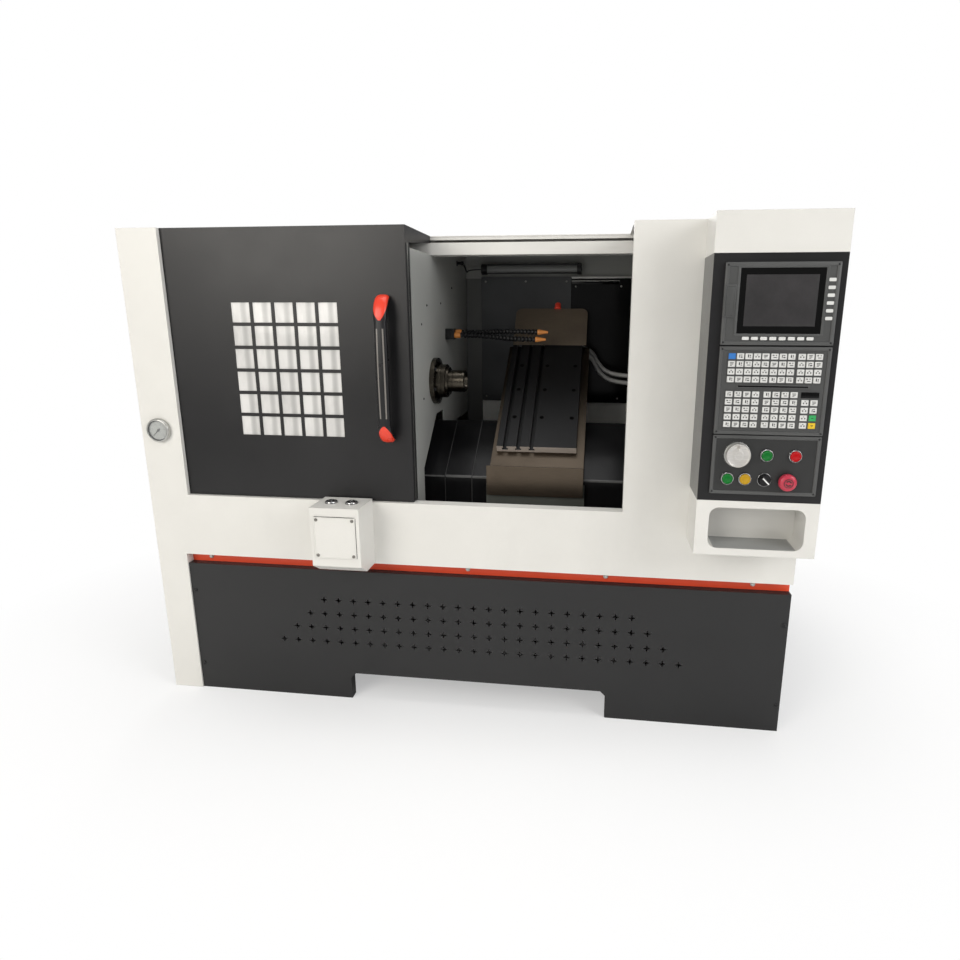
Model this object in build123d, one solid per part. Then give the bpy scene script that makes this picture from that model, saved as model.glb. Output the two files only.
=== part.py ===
from build123d import *
import math
import os

# Slant bed lathe. Millimetres. X runs right along the spindle, Y to the back, Z up.
# Sizes below count x from the guard's left end, y from the guard's front and z from the floor.

# General
OVERRUN = 5.0
RUN_GAP = 0.3
FIT_GAP = 0.06
BEND_SHARE = 0.48

# Flats of small and hidden rounds, which keep their meshes light
DIAL_SIDES = 32
PIN_SIDES = 20
CORE_SIDES = 16
BORE_SIDES = 12
CORD_SIDES = 8
NUT_SIDES = 6

# Enclosure
GUARD_W = 2080.0
GUARD_H = 1554.0
BODY_D = 1350.0
SHEET = 3.0
RETURN_D = 40.0
LEG_W = 103.5
OPENING_X0 = 134.0
OPENING_X1 = 1561.0
BAND_Z0 = 507.0
SILL_Z = 716.0
VENT_W = 160.0
VENT_H = 14.0
VENT_PITCH = 40.0
VENT_COUNT = 8
VENT_Z0 = 700.0
VENT_FROM_BACK = 420.0
BAR_HOLE_R = 36.0

# Base
BASE_H = 470.0
BASE_FRONT = 5.0
BASE_PANEL_T = 2.0
SHELF_D = 28.0
BASE_WALL = 5.0
BASE_BACK_GAP = 30.0
NOTCH_X0 = 660.0
NOTCH_X1 = 1531.0
NOTCH_H = 96.0
NOTCH_CHAMFER = 18.0
HOLE_ROWS = 4
HOLE_COUNT = 21
HOLE_GROWTH = 2
HOLE_PITCH = 51.2
HOLE_MID_X = 1092.8
HOLE_TOP_Z = 364.0
HOLE_R = 9.0
HOLE_MARGIN = 25.0
STRIPE_T = 6.0
STRIPE_FOOT = 30.0

# Sliding door with its top return
DOOR_W = 769.5
DOOR_GAP = 1.0
DOOR_LIFT = 2.0
DOOR_Y = 13.0
DOOR_T = 2.0
DOOR_EDGE_D = 40.0
DOOR_TOP_D = 285.0
GUSSET_FRONT_H = 46.0
GUSSET_REAR_H = 22.0
WINDOW_LEFT = 4.95
WINDOW_LOW = 7.0
WINDOW_HOLE = 60.0
WINDOW_PITCH = 70.4
WINDOW_COLS = 5
WINDOW_ROWS = 6
PANE_MARGIN = 10.0
PANE_T = 3.0
HANDLE_EDGE = 69.5
HANDLE_L = 423.0
HANDLE_LOW = 0.5
HANDLE_W = 42.0
HANDLE_STAND = 34.0
HANDLE_BAR_D = 24.0
HANDLE_CAP_H = 45.0
HANDLE_CAP_TOP_H = 64.0
HANDLE_ROUND = 9.0
GLIDE_X = 90.0
GLIDE_W = 60.0
GLIDE_HEAD_H = 20.0
GLIDE_HEAD_D = 20.0

# Roof beam, the door's track
BEAM_GAP = 4.0
BEAM_D = 60.0
BEAM_H = 57.0
BEAM_WALL = 3.0
BEAM_SLOT_DROP = 21.0
BEAM_SLOT_H = 8.0

# Inner panels
COVER_PANEL_Y = 60.0
INNER_Z0 = 560.0
HEAD_WALL_X = 905.0
BACK_Y = 880.0
INNER_RIGHT = 195.0
WALL_CUT_Y0 = 140.0
WALL_CUT_Z = 800.0
WALL_CUT_RISE = 40.0
WALL_CUT_BACK = 58.0
WALL_TAIL_DROP = 72.0
SHIELD_T = 2.0
SHIELD_Z0 = 937.0
SHIELD_DROP = 99.0
SHIELD_X0 = 972.0
SHIELD_JOINT_X = 1350.0
SHIELD_STEP = 8.0
SHIELD_FOLD = 10.0

# Slope: the way covers' plane, its bend line and its tilt
SLANT = 37.0
BEND_Y = 175.0
BEND_Z = 766.0
COVER_L = 266.0
COVER_T = 1.5
COVER_GAP = 0.6
COVER_DROP = 170.0
LEFT_PLATE_W = 165.0
LEFT_PITCH = 93.0
RIGHT_PLATE_W = 210.0
RIGHT_PITCH = 90.0
LEFT_SADDLE_PLATE_W = 127.0

# Bed, Z guides and Z screw
BED_DROP = 97.0
BED_X0 = 380.0
BED_U0 = -5.0
BED_U1 = 285.0
BED_BACK = 45.0
BED_WALL = 36.0
Z_RAIL_U = 35.0
Z_RAIL_SPAN = 190.0
Z_RAIL_W = 23.0
Z_RAIL_H = 22.0
RAIL_WAIST = 4.0
Z_RAIL_X0 = 790.0
Z_RAIL_END = 16.0
Z_SCREW_N = 20.0
Z_SCREW_R = 14.0
Z_BLOCK_L = 40.0
Z_BLOCK_W = 60.0
Z_BLOCK_H = 50.0
CARRIAGE_H = 36.0
CARRIAGE_W = 48.0
CARRIAGE_L = 62.0
CARRIAGE_LIFT = 5.0
RAIL_PLAY = 0.5
NUT_L = 70.0
NUT_W = 46.0
Z_MOTOR = 110.0
Z_MOTOR_L = 170.0
Z_BELL = 36.0
Z_BELL_L = 50.0

# Saddle, X guides and X screw, in slope sizes: u up the slope, n out of it
SADDLE_X0 = 1185.0
SADDLE_W = 181.0
SADDLE_FRONT_Y = 172.0
SADDLE_TOE_Z = 650.0
SADDLE_TOE_D = 18.0
SADDLE_U1 = 700.0
SADDLE_TIP_N = 30.0
SADDLE_PLATE_W = 330.0
SADDLE_PLATE_T = 6.0
SADDLE_PLATE_H = 100.0
TROUGH_W = 56.0
TROUGH_D = 10.0
X_RAIL_SPAN = 124.0
X_RAIL_W = 20.0
X_RAIL_H = 18.0
X_RAIL_U0 = 10.0
X_RAIL_U1 = 610.0
X_SCREW_N = 14.0
X_SCREW_R = 11.0
X_BLOCK_L = 26.0
X_BLOCK_W = 50.0
X_BLOCK_H = 33.0
X_CARRIAGE_W = 44.0
X_CARRIAGE_LIFT = 3.0
X_CARRIAGE_SPAN = 366.0
X_CARRIAGE_U = 130.0
X_NUT_W = 44.0
X_NUT_LIFT = 2.0
X_MOTOR = 84.0
X_MOTOR_L = 120.0
TERMINAL_W = 34.0
TERMINAL_INSET = 24.0
TERMINAL_U0 = 622.0
TERMINAL_U1 = 692.0
TERMINAL_H = 33.0

# Cross slide with the T-slotted gang plate
SLIDE_N = 36.0
SLIDE_T = 14.0
SLIDE_X0 = 1142.0
SLIDE_W = 268.0
SLIDE_U0 = 11.0
SLIDE_U1 = 620.0
LIP_OUT_LEFT = 16.0
LIP_OUT_RIGHT = 26.0
GANG_T = 26.0
GANG_U0 = 75.0
GANG_U1 = 607.0
SLOT_FIRST = 28.0
SLOT_PITCH = 45.0
SLOT_COUNT = 3
SLOT_NECK_W = 12.0
SLOT_NECK_D = 9.0
SLOT_HEAD_W = 20.0
SLOT_HEAD_D = 8.0
APRON_Y = 150.0
APRON_T = 1.5
APRON_Z0 = 712.0
APRON_SPLAY = 12.0
COVER_SHEET = 1.5
HOOD_U0 = 600.0
HOOD_L = 176.0
HOOD_TILT = 14.0
HOOD_OUT_RIGHT = 14.0
HOOD_CORNER_R = 24.0
HOOD_FLANK = 34.0
HOOD_PLUG_R = 13.0
HOOD_PLUG_H = 24.0
HOOD_PLUG_SHARE = 0.58

# Headstock, spindle and its drive
SPINDLE_Y = 310.0
SPINDLE_Z = 1075.0
SPINDLE_X0 = 290.0
SPINDLE_R = 45.0
SPINDLE_BORE_R = 20.0
CAP_R = 80.0
CAP_T = 15.0
RING_R = 58.0
RING_L = 32.0
NOSE_R = 37.5
NOSE_L = 64.0
HOUSING_X1 = 770.0
HOUSING_R = 115.0
QUILL_R = 75.0
BEARING_R = 62.0
BEARING_W = 40.0
BEARING_INSET = 20.0
PULLEY_R = 82.0
PULLEY_W = 40.0
MOTOR_Y = 760.0
MOTOR_R = 105.0
MOTOR_LIFT = 132.0
MOTOR_L = 320.0
MOTOR_FOOT = 24.0
MOTOR_PULLEY_R = 62.0
MOTOR_SHAFT_R = 19.0
MOTOR_SHAFT_L = 30.0
TERMINAL_BOX = 90.0
BELT_T = 6.0

# Control cabinet on the right column
BOX_W = 325.0
BOX_D = 148.0
HEAD_H = 101.0
HOUSING_H = 647.0
TRAY_H = 158.0
BOX_SHEET = 2.5
POCKET_X = 36.0
POCKET_W = 256.0
POCKET_Z = 20.0
POCKET_H = 118.0
POCKET_R = 26.0
POCKET_D = 96.0
MODULE_X = 30.0
MODULE_W = 277.0
MODULE_T = 8.0
SCREEN_DROP = 227.0
SCREEN_H = 204.0
GLASS_X = 38.0
GLASS_W = 205.0
GLASS_Z = 29.0
GLASS_H = 161.0
GLASS_T = 3.0
SOFTKEY_W = 18.0
SOFTKEY_H = 9.0
SOFTKEY_T = 1.5
SIDE_KEYS = 6
SIDE_KEY_X = 250.0
SIDE_KEY_Z = 63.0
SIDE_KEY_PITCH = 18.8
LOW_KEYS = 8
LOW_KEY_X = 52.0
LOW_KEY_Z = 12.0
LOW_KEY_PITCH = 22.6
CARD_X = 3.5
CARD_W = 27.0
CARD_Z = 68.0
CARD_H = 83.0
CARD_T = 2.5
CARD_PIN_R = 2.0
KEYPAD_DROP = 460.0
KEYPAD_H = 229.0
PAD_T = 1.5
PAD_X = 22.0
PAD_W = 235.0
PAD_LOW_Z = 16.0
PAD_LOW_H = 101.0
PAD_TOP_Z = 134.0
PAD_TOP_H = 81.0
OPERATOR_DROP = 625.0
OPERATOR_H = 162.0
OPERATOR_T = 6.0

# Controls on the operator plate; places are shares of its width and height
PLACE_SHARES = {"start_button": (0.513, 0.673), "stop_button": (0.776, 0.673),
                "clamp_button": (0.161, 0.265), "coolant_button": (0.327, 0.265),
                "handwheel": (0.238, 0.673), "mode_selector": (0.511, 0.259),
                "emergency_stop": (0.717, 0.241)}
PLUNGER_R = 11.5
PLUNGER_PROUD = 9.0
PLUNGER_L = 9.0
WHEEL_R = 32.0
WHEEL_T = 18.0
WHEEL_GAP = 2.0
WHEEL_DISH = 7.0
WHEEL_RIM = 6.0
WHEEL_SHAFT_R = 6.0
WHEEL_SHAFT_L = 12.0
SPINNER_R = 5.0
SPINNER_H = 14.0
SPINNER_AT = 20.0
KNOB_R = 12.0
KNOB_H = 20.0
KNOB_GRIP_W = 8.0
KNOB_SKIRT_H = 9.0
MUSHROOM_R = 23.0
MUSHROOM_H = 18.0
MUSHROOM_STEM_R = 11.0
MUSHROOM_TRAVEL = 6.0
CROWN_TAPER = 40.0

# Push-button box on the band
PB_X0 = 613.0
PB_W = 157.0
PB_D = 122.0
PB_Z0 = 511.0
PB_Z1 = 728.0
PB_CHAMFER_D = 45.0
PB_CHAMFER_H = 29.0
PB_COVER = 132.0
PB_COVER_T = 3.0
PB_BUTTON_SPAN = 66.0
PB_BUTTON_Y = 58.0
PB_PROUD = 9.0
PB_PLUNGER_R = 10.0
PB_BORE = 16.0

# Pressure gauge on the left column
GAUGE_X = 64.0
GAUGE_Z = 932.6
GAUGE_R = 39.0
GAUGE_FACE_R = 33.0
GAUGE_H = 15.0
GAUGE_RECESS = 7.0
NEEDLE_L = 25.0
NEEDLE_TAIL = 8.0
NEEDLE_W = 4.0
NEEDLE_T = 1.5
NEEDLE_REST = -45.0

# Work lamp with its lead, coolant line, conduits
LAMP_X0 = 979.0
LAMP_L = 413.0
LAMP_Y = 840.0
LAMP_DROP = 70.0
LAMP_R = 22.5
LAMP_CLIP_W = 20.0
LAMP_CLIP_H = 14.0
LEAD_R = 3.0
LEAD_SAG = 28.0
LEAD_GLAND_R = 8.0
LEAD_GLAND_L = 20.0
LEAD_GLAND_OUT = 21.0
LEAD_GLAND_Y = 719.0
LEAD_GLAND_DROP = 56.0
LEAD_SHARES = ((1, 0, 0), (0, 0, 0), (0, 0.41, 0.85), (0, 0.7, 0.15), (0, 1, 0))
COOLANT_Y = 500.0
COOLANT_Z = 1230.5
COOLANT_BLOCK = 40.0
COOLANT_BLOCK_L = 33.0
COOLANT_SPREAD = 23.0
COOLANT_NUT_R = 11.4
COOLANT_NUT_L = 23.0
HOSE_R = 10.0
HOSE_L = 288.0
HOSE_LOW_L = 281.0
NOZZLE_L = 36.0
NOZZLE_TAPER = 9.0
CONDUIT_R = 9.0
CONDUIT_UPPER_Y = 700.0
CONDUIT_UPPER_HIGH = 1183.0
CONDUIT_UPPER_LOW = 1062.0
CONDUIT_LOWER_Y = 676.0
CONDUIT_LOWER_HIGH = 1164.0
CONDUIT_LOWER_LOW = 1036.0
CONDUIT_SHARES = ((0, 1), (0.24, 1), (0.345, 0.25), (0.55, 0), (1, 0))
CONDUIT_GLAND_R = 15.0
CONDUIT_GLAND_L = 18.0

# Worked-out places
SIN = math.sin(math.radians(SLANT))
COS = math.cos(math.radians(SLANT))
BOX_X0 = GUARD_W - BOX_W
MODULE_FACE = -BOX_D - MODULE_T
OPERATOR_FACE = -BOX_D - OPERATOR_T
REACH = BOX_D + OPERATOR_T + WHEEL_GAP + WHEEL_T + SPINNER_H
STRIPE_Y = BASE_FRONT + SHELF_D
RIGHT_WALL_X = OPENING_X1 + INNER_RIGHT
SADDLE_X1 = SADDLE_X0 + SADDLE_W
SADDLE_MID = SADDLE_X0 + SADDLE_W / 2
INNER_TOP = GUARD_H - SHEET - BEAM_H
DOOR_X0 = OPENING_X0 + DOOR_GAP
DOOR_X1 = DOOR_X0 + DOOR_W
DOOR_Z0 = SILL_Z + DOOR_LIFT
DOOR_MID_Z = (DOOR_Z0 + GUARD_H) / 2
WINDOW_W = WINDOW_PITCH * (WINDOW_COLS - 1) + WINDOW_HOLE
WINDOW_H = WINDOW_PITCH * (WINDOW_ROWS - 1) + WINDOW_HOLE
WINDOW_X = DOOR_X0 + DOOR_W / 2 - WINDOW_LEFT - WINDOW_W / 2
WINDOW_Z = DOOR_MID_Z - WINDOW_LOW - WINDOW_H / 2
HANDLE_Z0 = DOOR_MID_Z - HANDLE_LOW - HANDLE_L / 2
HANDLE_Z1 = HANDLE_Z0 + HANDLE_L
BEAM_SLOT_Z = GUARD_H - BEAM_SLOT_DROP
SHIELD_Z1 = GUARD_H - SHIELD_DROP
HOUSING_TOP = GUARD_H - HEAD_H
TRAY_TOP = HOUSING_TOP - HOUSING_H
BOX_Z0 = TRAY_TOP - TRAY_H
SCREEN_Z = HOUSING_TOP - SCREEN_DROP
KEYPAD_Z = HOUSING_TOP - KEYPAD_DROP
OPERATOR_Z = HOUSING_TOP - OPERATOR_DROP
LAMP_Z = GUARD_H - LAMP_DROP
LEAD_GLAND_Z = GUARD_H - LEAD_GLAND_DROP
DOOR_BACK = DOOR_Y + DOOR_TOP_D
BEAM_Y = DOOR_BACK + BEAM_GAP
SLIDE_TOP_N = SLIDE_N + SLIDE_T
GANG_TOP_N = SLIDE_TOP_N + GANG_T
MOTOR_Z = BASE_H + MOTOR_LIFT
BED_X1 = RIGHT_WALL_X

# Plane of the slope, on which the bed, saddle and slide are drawn
SLOPE = Plane(origin=(0, BEND_Y, BEND_Z), x_dir=(1, 0, 0), z_dir=(0, -SIN, COS))

DIRECTIONS = {"x": (1, 0, 0), "y": (0, 1, 0), "z": (0, 0, 1)}


def block(x, y, z):
    """Box between three (low, high) pairs."""
    size = Box(x[1] - x[0], y[1] - y[0], z[1] - z[0], align=(Align.MIN, Align.MIN, Align.MIN))
    return Pos(x[0], y[0], z[0]) * size


def prism(points, axis, low, high):
    """Polygon in the two other axes, drawn out along one axis."""
    place = {"x": lambda a, b: (low, a, b), "y": lambda a, b: (a, low, b), "z": lambda a, b: (a, b, low)}
    face = make_face(Polyline(*[place[axis](a, b) for a, b in points], close=True).edges())
    return extrude(face, amount=high - low, dir=DIRECTIONS[axis])


def rod(radius, origin, axis, length):
    """Round bar from origin along an axis."""
    bar = Cylinder(radius, length, align=(Align.CENTER, Align.CENTER, Align.MIN))
    return Plane(origin=origin, z_dir=DIRECTIONS[axis]) * bar


def flats(radius, sides, origin, axis, length, inside=False):
    """Bar with flats that fills a round of this radius, or a hole that clears it."""
    shape = RegularPolygon(radius, side_count=sides, major_radius=not inside)
    return Plane(origin=origin, z_dir=DIRECTIONS[axis]) * extrude(shape, amount=length)


def at_slope(u, n):
    """Y and Z of a point u up the slope and n out of it."""
    return (BEND_Y + u * COS - n * SIN, BEND_Z + u * SIN + n * COS)


def tube(points, radius):
    """Round cord along straight runs and the largest tangent arcs that they allow."""
    route = [Vector(*point) for point in points]
    radii = []
    for before, here, after in zip(route, route[1:], route[2:]):
        first = here - before
        second = after - here
        half_turn = math.radians(first.get_angle(second)) / 2
        shorter = min(first.length, second.length)
        radii.append(BEND_SHARE * shorter / math.tan(half_turn))
    print("bend radii", [round(value) for value in radii])
    path = FilletPolyline(*route, radius=radii)
    profile = Plane(origin=path @ 0, z_dir=path % 0) * RegularPolygon(radius, side_count=CORD_SIDES)
    return sweep(profile, path=path)


PIECES = {}


def keep(name, *solids):
    """Add separate solids to a node."""
    PIECES.setdefault(name, []).extend(solids)


def base():
    """Welded base, its pierced front sheet and red stripe."""
    inside_x = (LEG_W, GUARD_W)
    front = STRIPE_Y
    back = BODY_D - BASE_BACK_GAP
    shell = block(inside_x, (front, back), (0, BASE_H))
    shell -= block((LEG_W + BASE_WALL, GUARD_W - BASE_WALL), (front + BASE_WALL, back - BASE_WALL),
                   (-OVERRUN, BASE_H - BASE_WALL))
    half_row = (HOLE_COUNT + HOLE_GROWTH * (HOLE_ROWS - 1)) * HOLE_PITCH / 2
    window_x = (HOLE_MID_X - half_row, HOLE_MID_X + half_row)
    window_z = (HOLE_TOP_Z - HOLE_PITCH * (HOLE_ROWS - 1) - HOLE_MARGIN, HOLE_TOP_Z + HOLE_MARGIN)
    shell -= block(window_x, (front - OVERRUN, front + BASE_WALL + OVERRUN), window_z)
    notch = [(NOTCH_X0, -OVERRUN), (NOTCH_X0, NOTCH_H - NOTCH_CHAMFER),
             (NOTCH_X0 + NOTCH_CHAMFER, NOTCH_H), (NOTCH_X1 - NOTCH_CHAMFER, NOTCH_H),
             (NOTCH_X1, NOTCH_H - NOTCH_CHAMFER), (NOTCH_X1, -OVERRUN)]
    shell -= prism(notch, "y", front - OVERRUN, back + OVERRUN)
    keep("base_frame", shell)

    sheet_back = BASE_FRONT + BASE_PANEL_T
    folded = [(BASE_FRONT, 0), (BASE_FRONT, BASE_H + BASE_PANEL_T), (front, BASE_H + BASE_PANEL_T),
              (front, BASE_H), (sheet_back, BASE_H), (sheet_back, 0)]
    panel = prism(folded, "x", LEG_W, GUARD_W)
    for end in (LEG_W, GUARD_W - BASE_PANEL_T):
        panel += block((end, end + BASE_PANEL_T), (sheet_back, front), (0, BASE_H))
    panel -= prism(notch, "y", BASE_FRONT - OVERRUN, front + OVERRUN)
    for row in range(HOLE_ROWS):
        count = HOLE_COUNT + HOLE_GROWTH * row
        first = HOLE_MID_X - (count - 1) * HOLE_PITCH / 2
        z = HOLE_TOP_Z - HOLE_PITCH * row
        outline = [(first + HOLE_R, z), (first, z + HOLE_R), (first - HOLE_R, z), (first, z - HOLE_R)]
        hole = prism(outline, "y", BASE_FRONT - OVERRUN, sheet_back + OVERRUN)
        panel -= [Pos(HOLE_PITCH * step, 0, 0) * hole for step in range(count)]
    keep("base_front_panel", panel)

    stripe = [(front, BASE_H), (front, BAND_Z0), (front + STRIPE_T, BAND_Z0),
              (front + STRIPE_T, BASE_H + STRIPE_T), (front + STRIPE_FOOT, BASE_H + STRIPE_T),
              (front + STRIPE_FOOT, BASE_H)]
    keep("base_stripe", prism(stripe, "x", LEG_W, GUARD_W))


def enclosure():
    """Folded front guard, end, rear and roof sheets, the bar feed hole and the door's track."""
    outline = [(0, 0), (LEG_W, 0), (LEG_W, BAND_Z0), (GUARD_W, BAND_Z0), (GUARD_W, GUARD_H),
               (OPENING_X1, GUARD_H), (OPENING_X1, SILL_Z), (OPENING_X0, SILL_Z), (OPENING_X0, GUARD_H),
               (0, GUARD_H)]
    face = make_face(Polyline(*[(x, 0, z) for x, z in outline], close=True).edges())
    inner = offset(face, amount=-SHEET, kind=Kind.INTERSECTION)
    guard = extrude(face, amount=RETURN_D, dir=(0, 1, 0))
    guard -= Pos(0, SHEET, 0) * extrude(inner, amount=RETURN_D, dir=(0, 1, 0))
    keep("front_guard", guard)

    vents_y = BODY_D - VENT_FROM_BACK
    vents = [block((-OVERRUN, GUARD_W + OVERRUN), (vents_y, vents_y + VENT_W),
                   (VENT_Z0 + VENT_PITCH * row, VENT_Z0 + VENT_PITCH * row + VENT_H))
                   for row in range(VENT_COUNT)]
    roof_z = GUARD_H - SHEET
    left = block((0, SHEET), (RETURN_D, BODY_D - SHEET), (0, roof_z)) - vents
    left -= flats(BAR_HOLE_R, CORE_SIDES, (-OVERRUN, SPINDLE_Y, SPINDLE_Z), "x", SHEET + OVERRUN * 2)
    right = block((GUARD_W - SHEET, GUARD_W), (RETURN_D, BODY_D - SHEET), (BAND_Z0, roof_z)) - vents
    rear = block((0, GUARD_W), (BODY_D - SHEET, BODY_D), (BASE_H, roof_z))
    mouth = DOOR_BACK + BEAM_GAP / 2
    roof = prism([(0, RETURN_D), (OPENING_X0, RETURN_D), (OPENING_X0, mouth), (OPENING_X1, mouth),
                  (OPENING_X1, RETURN_D), (GUARD_W, RETURN_D), (GUARD_W, BODY_D), (0, BODY_D)], "z",
                  roof_z, GUARD_H)
    keep("enclosure_panels", left, right, rear, roof)

    z0 = roof_z - BEAM_H
    beam = block((OPENING_X0, RIGHT_WALL_X), (BEAM_Y, BEAM_Y + BEAM_D), (z0, roof_z))
    beam -= block((OPENING_X0 - OVERRUN, RIGHT_WALL_X + OVERRUN),
                  (BEAM_Y + BEAM_WALL, BEAM_Y + BEAM_D - BEAM_WALL), (z0 + BEAM_WALL, roof_z - BEAM_WALL))
    beam -= block((OPENING_X0 - OVERRUN, RIGHT_WALL_X + OVERRUN),
                  (BEAM_Y - OVERRUN, BEAM_Y + BEAM_WALL + OVERRUN),
                  (BEAM_SLOT_Z, BEAM_SLOT_Z + BEAM_SLOT_H))
    keep("enclosure_panels", beam)


def inner_panels():
    """Work-area walls: headstock cover with its end wall, back wall, right wall and splash shields."""
    cut_top = at_slope(COVER_L, WALL_CUT_RISE)
    side = [(COVER_PANEL_Y, INNER_Z0), (WALL_CUT_Y0, INNER_Z0), (WALL_CUT_Y0, WALL_CUT_Z),
            (cut_top[0] - WALL_CUT_RISE, cut_top[1]), (cut_top[0] + WALL_CUT_BACK, cut_top[1]),
            (cut_top[0] + WALL_CUT_BACK, cut_top[1] - WALL_TAIL_DROP),
            (BACK_Y, cut_top[1] - WALL_TAIL_DROP), (BACK_Y, GUARD_H - SHEET),
            (BEAM_Y + BEAM_D, GUARD_H - SHEET), (BEAM_Y + BEAM_D, INNER_TOP), (COVER_PANEL_Y, INNER_TOP)]
    cover = block((OPENING_X0, HEAD_WALL_X), (COVER_PANEL_Y, COVER_PANEL_Y + SHEET),
                  (INNER_Z0, INNER_TOP))
    cover += prism(side, "x", HEAD_WALL_X - SHEET, HEAD_WALL_X)
    cover -= flats(QUILL_R + RUN_GAP, PIN_SIDES, (HEAD_WALL_X - SHEET - OVERRUN, SPINDLE_Y, SPINDLE_Z),
                   "x", SHEET + OVERRUN * 2, inside=True)
    back = block((HEAD_WALL_X - SHEET, RIGHT_WALL_X), (BACK_Y, BACK_Y + SHEET),
                 (INNER_Z0, GUARD_H - SHEET))
    right = prism(side, "x", RIGHT_WALL_X, RIGHT_WALL_X + SHEET)
    keep("inner_panels", cover, back, right)

    for x0, x1, step in ((SHIELD_X0, SHIELD_JOINT_X, 0), (SHIELD_JOINT_X, RIGHT_WALL_X, SHIELD_STEP)):
        front = BACK_Y - SHIELD_FOLD - step
        folded = [(front, SHIELD_Z0), (front, SHIELD_Z1), (BACK_Y, SHIELD_Z1),
                  (BACK_Y, SHIELD_Z1 - SHIELD_T), (front + SHIELD_T, SHIELD_Z1 - SHIELD_T),
                  (front + SHIELD_T, SHIELD_Z0 + SHIELD_T), (BACK_Y, SHIELD_Z0 + SHIELD_T),
                  (BACK_Y, SHIELD_Z0)]
        keep("rear_shields", prism(folded, "x", x0, x1))


def sliding_door():
    """Door sheet with folded edges, top return and pierced window, its pane, handle and glides."""
    side = [(DOOR_Y, DOOR_Z0), (DOOR_Y + DOOR_EDGE_D, DOOR_Z0),
            (DOOR_Y + DOOR_EDGE_D, GUARD_H - GUSSET_FRONT_H), (DOOR_BACK, GUARD_H - GUSSET_REAR_H),
            (DOOR_BACK, GUARD_H), (DOOR_Y, GUARD_H)]
    door = prism(side, "x", DOOR_X0, DOOR_X1)
    hollow = [(DOOR_Y + DOOR_T, DOOR_Z0 - OVERRUN), (DOOR_BACK, DOOR_Z0 - OVERRUN),
              (DOOR_BACK - DOOR_T, GUARD_H - DOOR_T), (DOOR_Y + DOOR_T, GUARD_H - DOOR_T)]
    door -= prism(hollow, "x", DOOR_X0 + DOOR_T, DOOR_X1 - DOOR_T)
    door += block((DOOR_X0, DOOR_X1), (DOOR_BACK - DOOR_T, DOOR_BACK), (GUARD_H - GUSSET_REAR_H, GUARD_H))
    through = (DOOR_Y - OVERRUN, DOOR_Y + DOOR_T + OVERRUN)
    for column in range(WINDOW_COLS):
        for row in range(WINDOW_ROWS):
            x = WINDOW_X + column * WINDOW_PITCH
            z = WINDOW_Z + row * WINDOW_PITCH
            door -= block((x, x + WINDOW_HOLE), through, (z, z + WINDOW_HOLE))
    keep("sliding_door", door)
    keep("window_pane", block((WINDOW_X - PANE_MARGIN, WINDOW_X + WINDOW_W + PANE_MARGIN),
                              (DOOR_Y + DOOR_T, DOOR_Y + DOOR_T + PANE_T),
                              (WINDOW_Z - PANE_MARGIN, WINDOW_Z + WINDOW_H + PANE_MARGIN)))

    stem_z = (BEAM_SLOT_Z + RUN_GAP, BEAM_SLOT_Z + BEAM_SLOT_H - RUN_GAP)
    head_mid = BEAM_SLOT_Z + BEAM_SLOT_H / 2
    head_y = BEAM_Y + BEAM_WALL + RUN_GAP
    for x in (DOOR_X0 + GLIDE_X, DOOR_X1 - GLIDE_X - GLIDE_W):
        across = (x, x + GLIDE_W)
        glide = block(across, (DOOR_BACK, head_y), stem_z)
        glide += block(across, (head_y, head_y + GLIDE_HEAD_D),
                       (head_mid - GLIDE_HEAD_H / 2, head_mid + GLIDE_HEAD_H / 2))
        keep("sliding_door", glide)

    x = (DOOR_X1 - HANDLE_EDGE - HANDLE_W / 2, DOOR_X1 - HANDLE_EDGE + HANDLE_W / 2)
    front = DOOR_Y - HANDLE_STAND - HANDLE_BAR_D
    low = HANDLE_Z0 + HANDLE_CAP_H
    high = HANDLE_Z1 - HANDLE_CAP_TOP_H
    bar = block(x, (front, front + HANDLE_BAR_D), (low, high))
    keep("door_handle", fillet(bar.edges().filter_by(Axis.Z), HANDLE_ROUND))
    for tip, root in ((HANDLE_Z0, low), (HANDLE_Z1, high)):
        slope = (root - tip) / 2
        cap = prism([(DOOR_Y, tip), (front + HANDLE_ROUND, tip + slope / 2), (front, tip + slope),
                     (front, root), (front + HANDLE_BAR_D, root), (DOOR_Y, tip + slope)], "x", x[0], x[1])
        keep("handle_caps", cap)


def way_cover(level, x0, x1):
    """One telescopic cover plate: sloped top and upright front, nested by its level."""
    inset = level * (COVER_T + COVER_GAP)

    def bend(depth):
        y = BEND_Y + depth
        u = (y - BEND_Y - depth * SIN) / COS
        return (y, at_slope(u, -depth)[1])

    outer = bend(inset)
    inner = bend(inset + COVER_T)
    bottom = BEND_Z - COVER_DROP
    profile = [(outer[0], bottom), outer, at_slope(COVER_L, -inset), at_slope(COVER_L, -inset - COVER_T),
               inner, (inner[0], bottom)]
    return prism(profile, "x", x0, x1)


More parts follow.
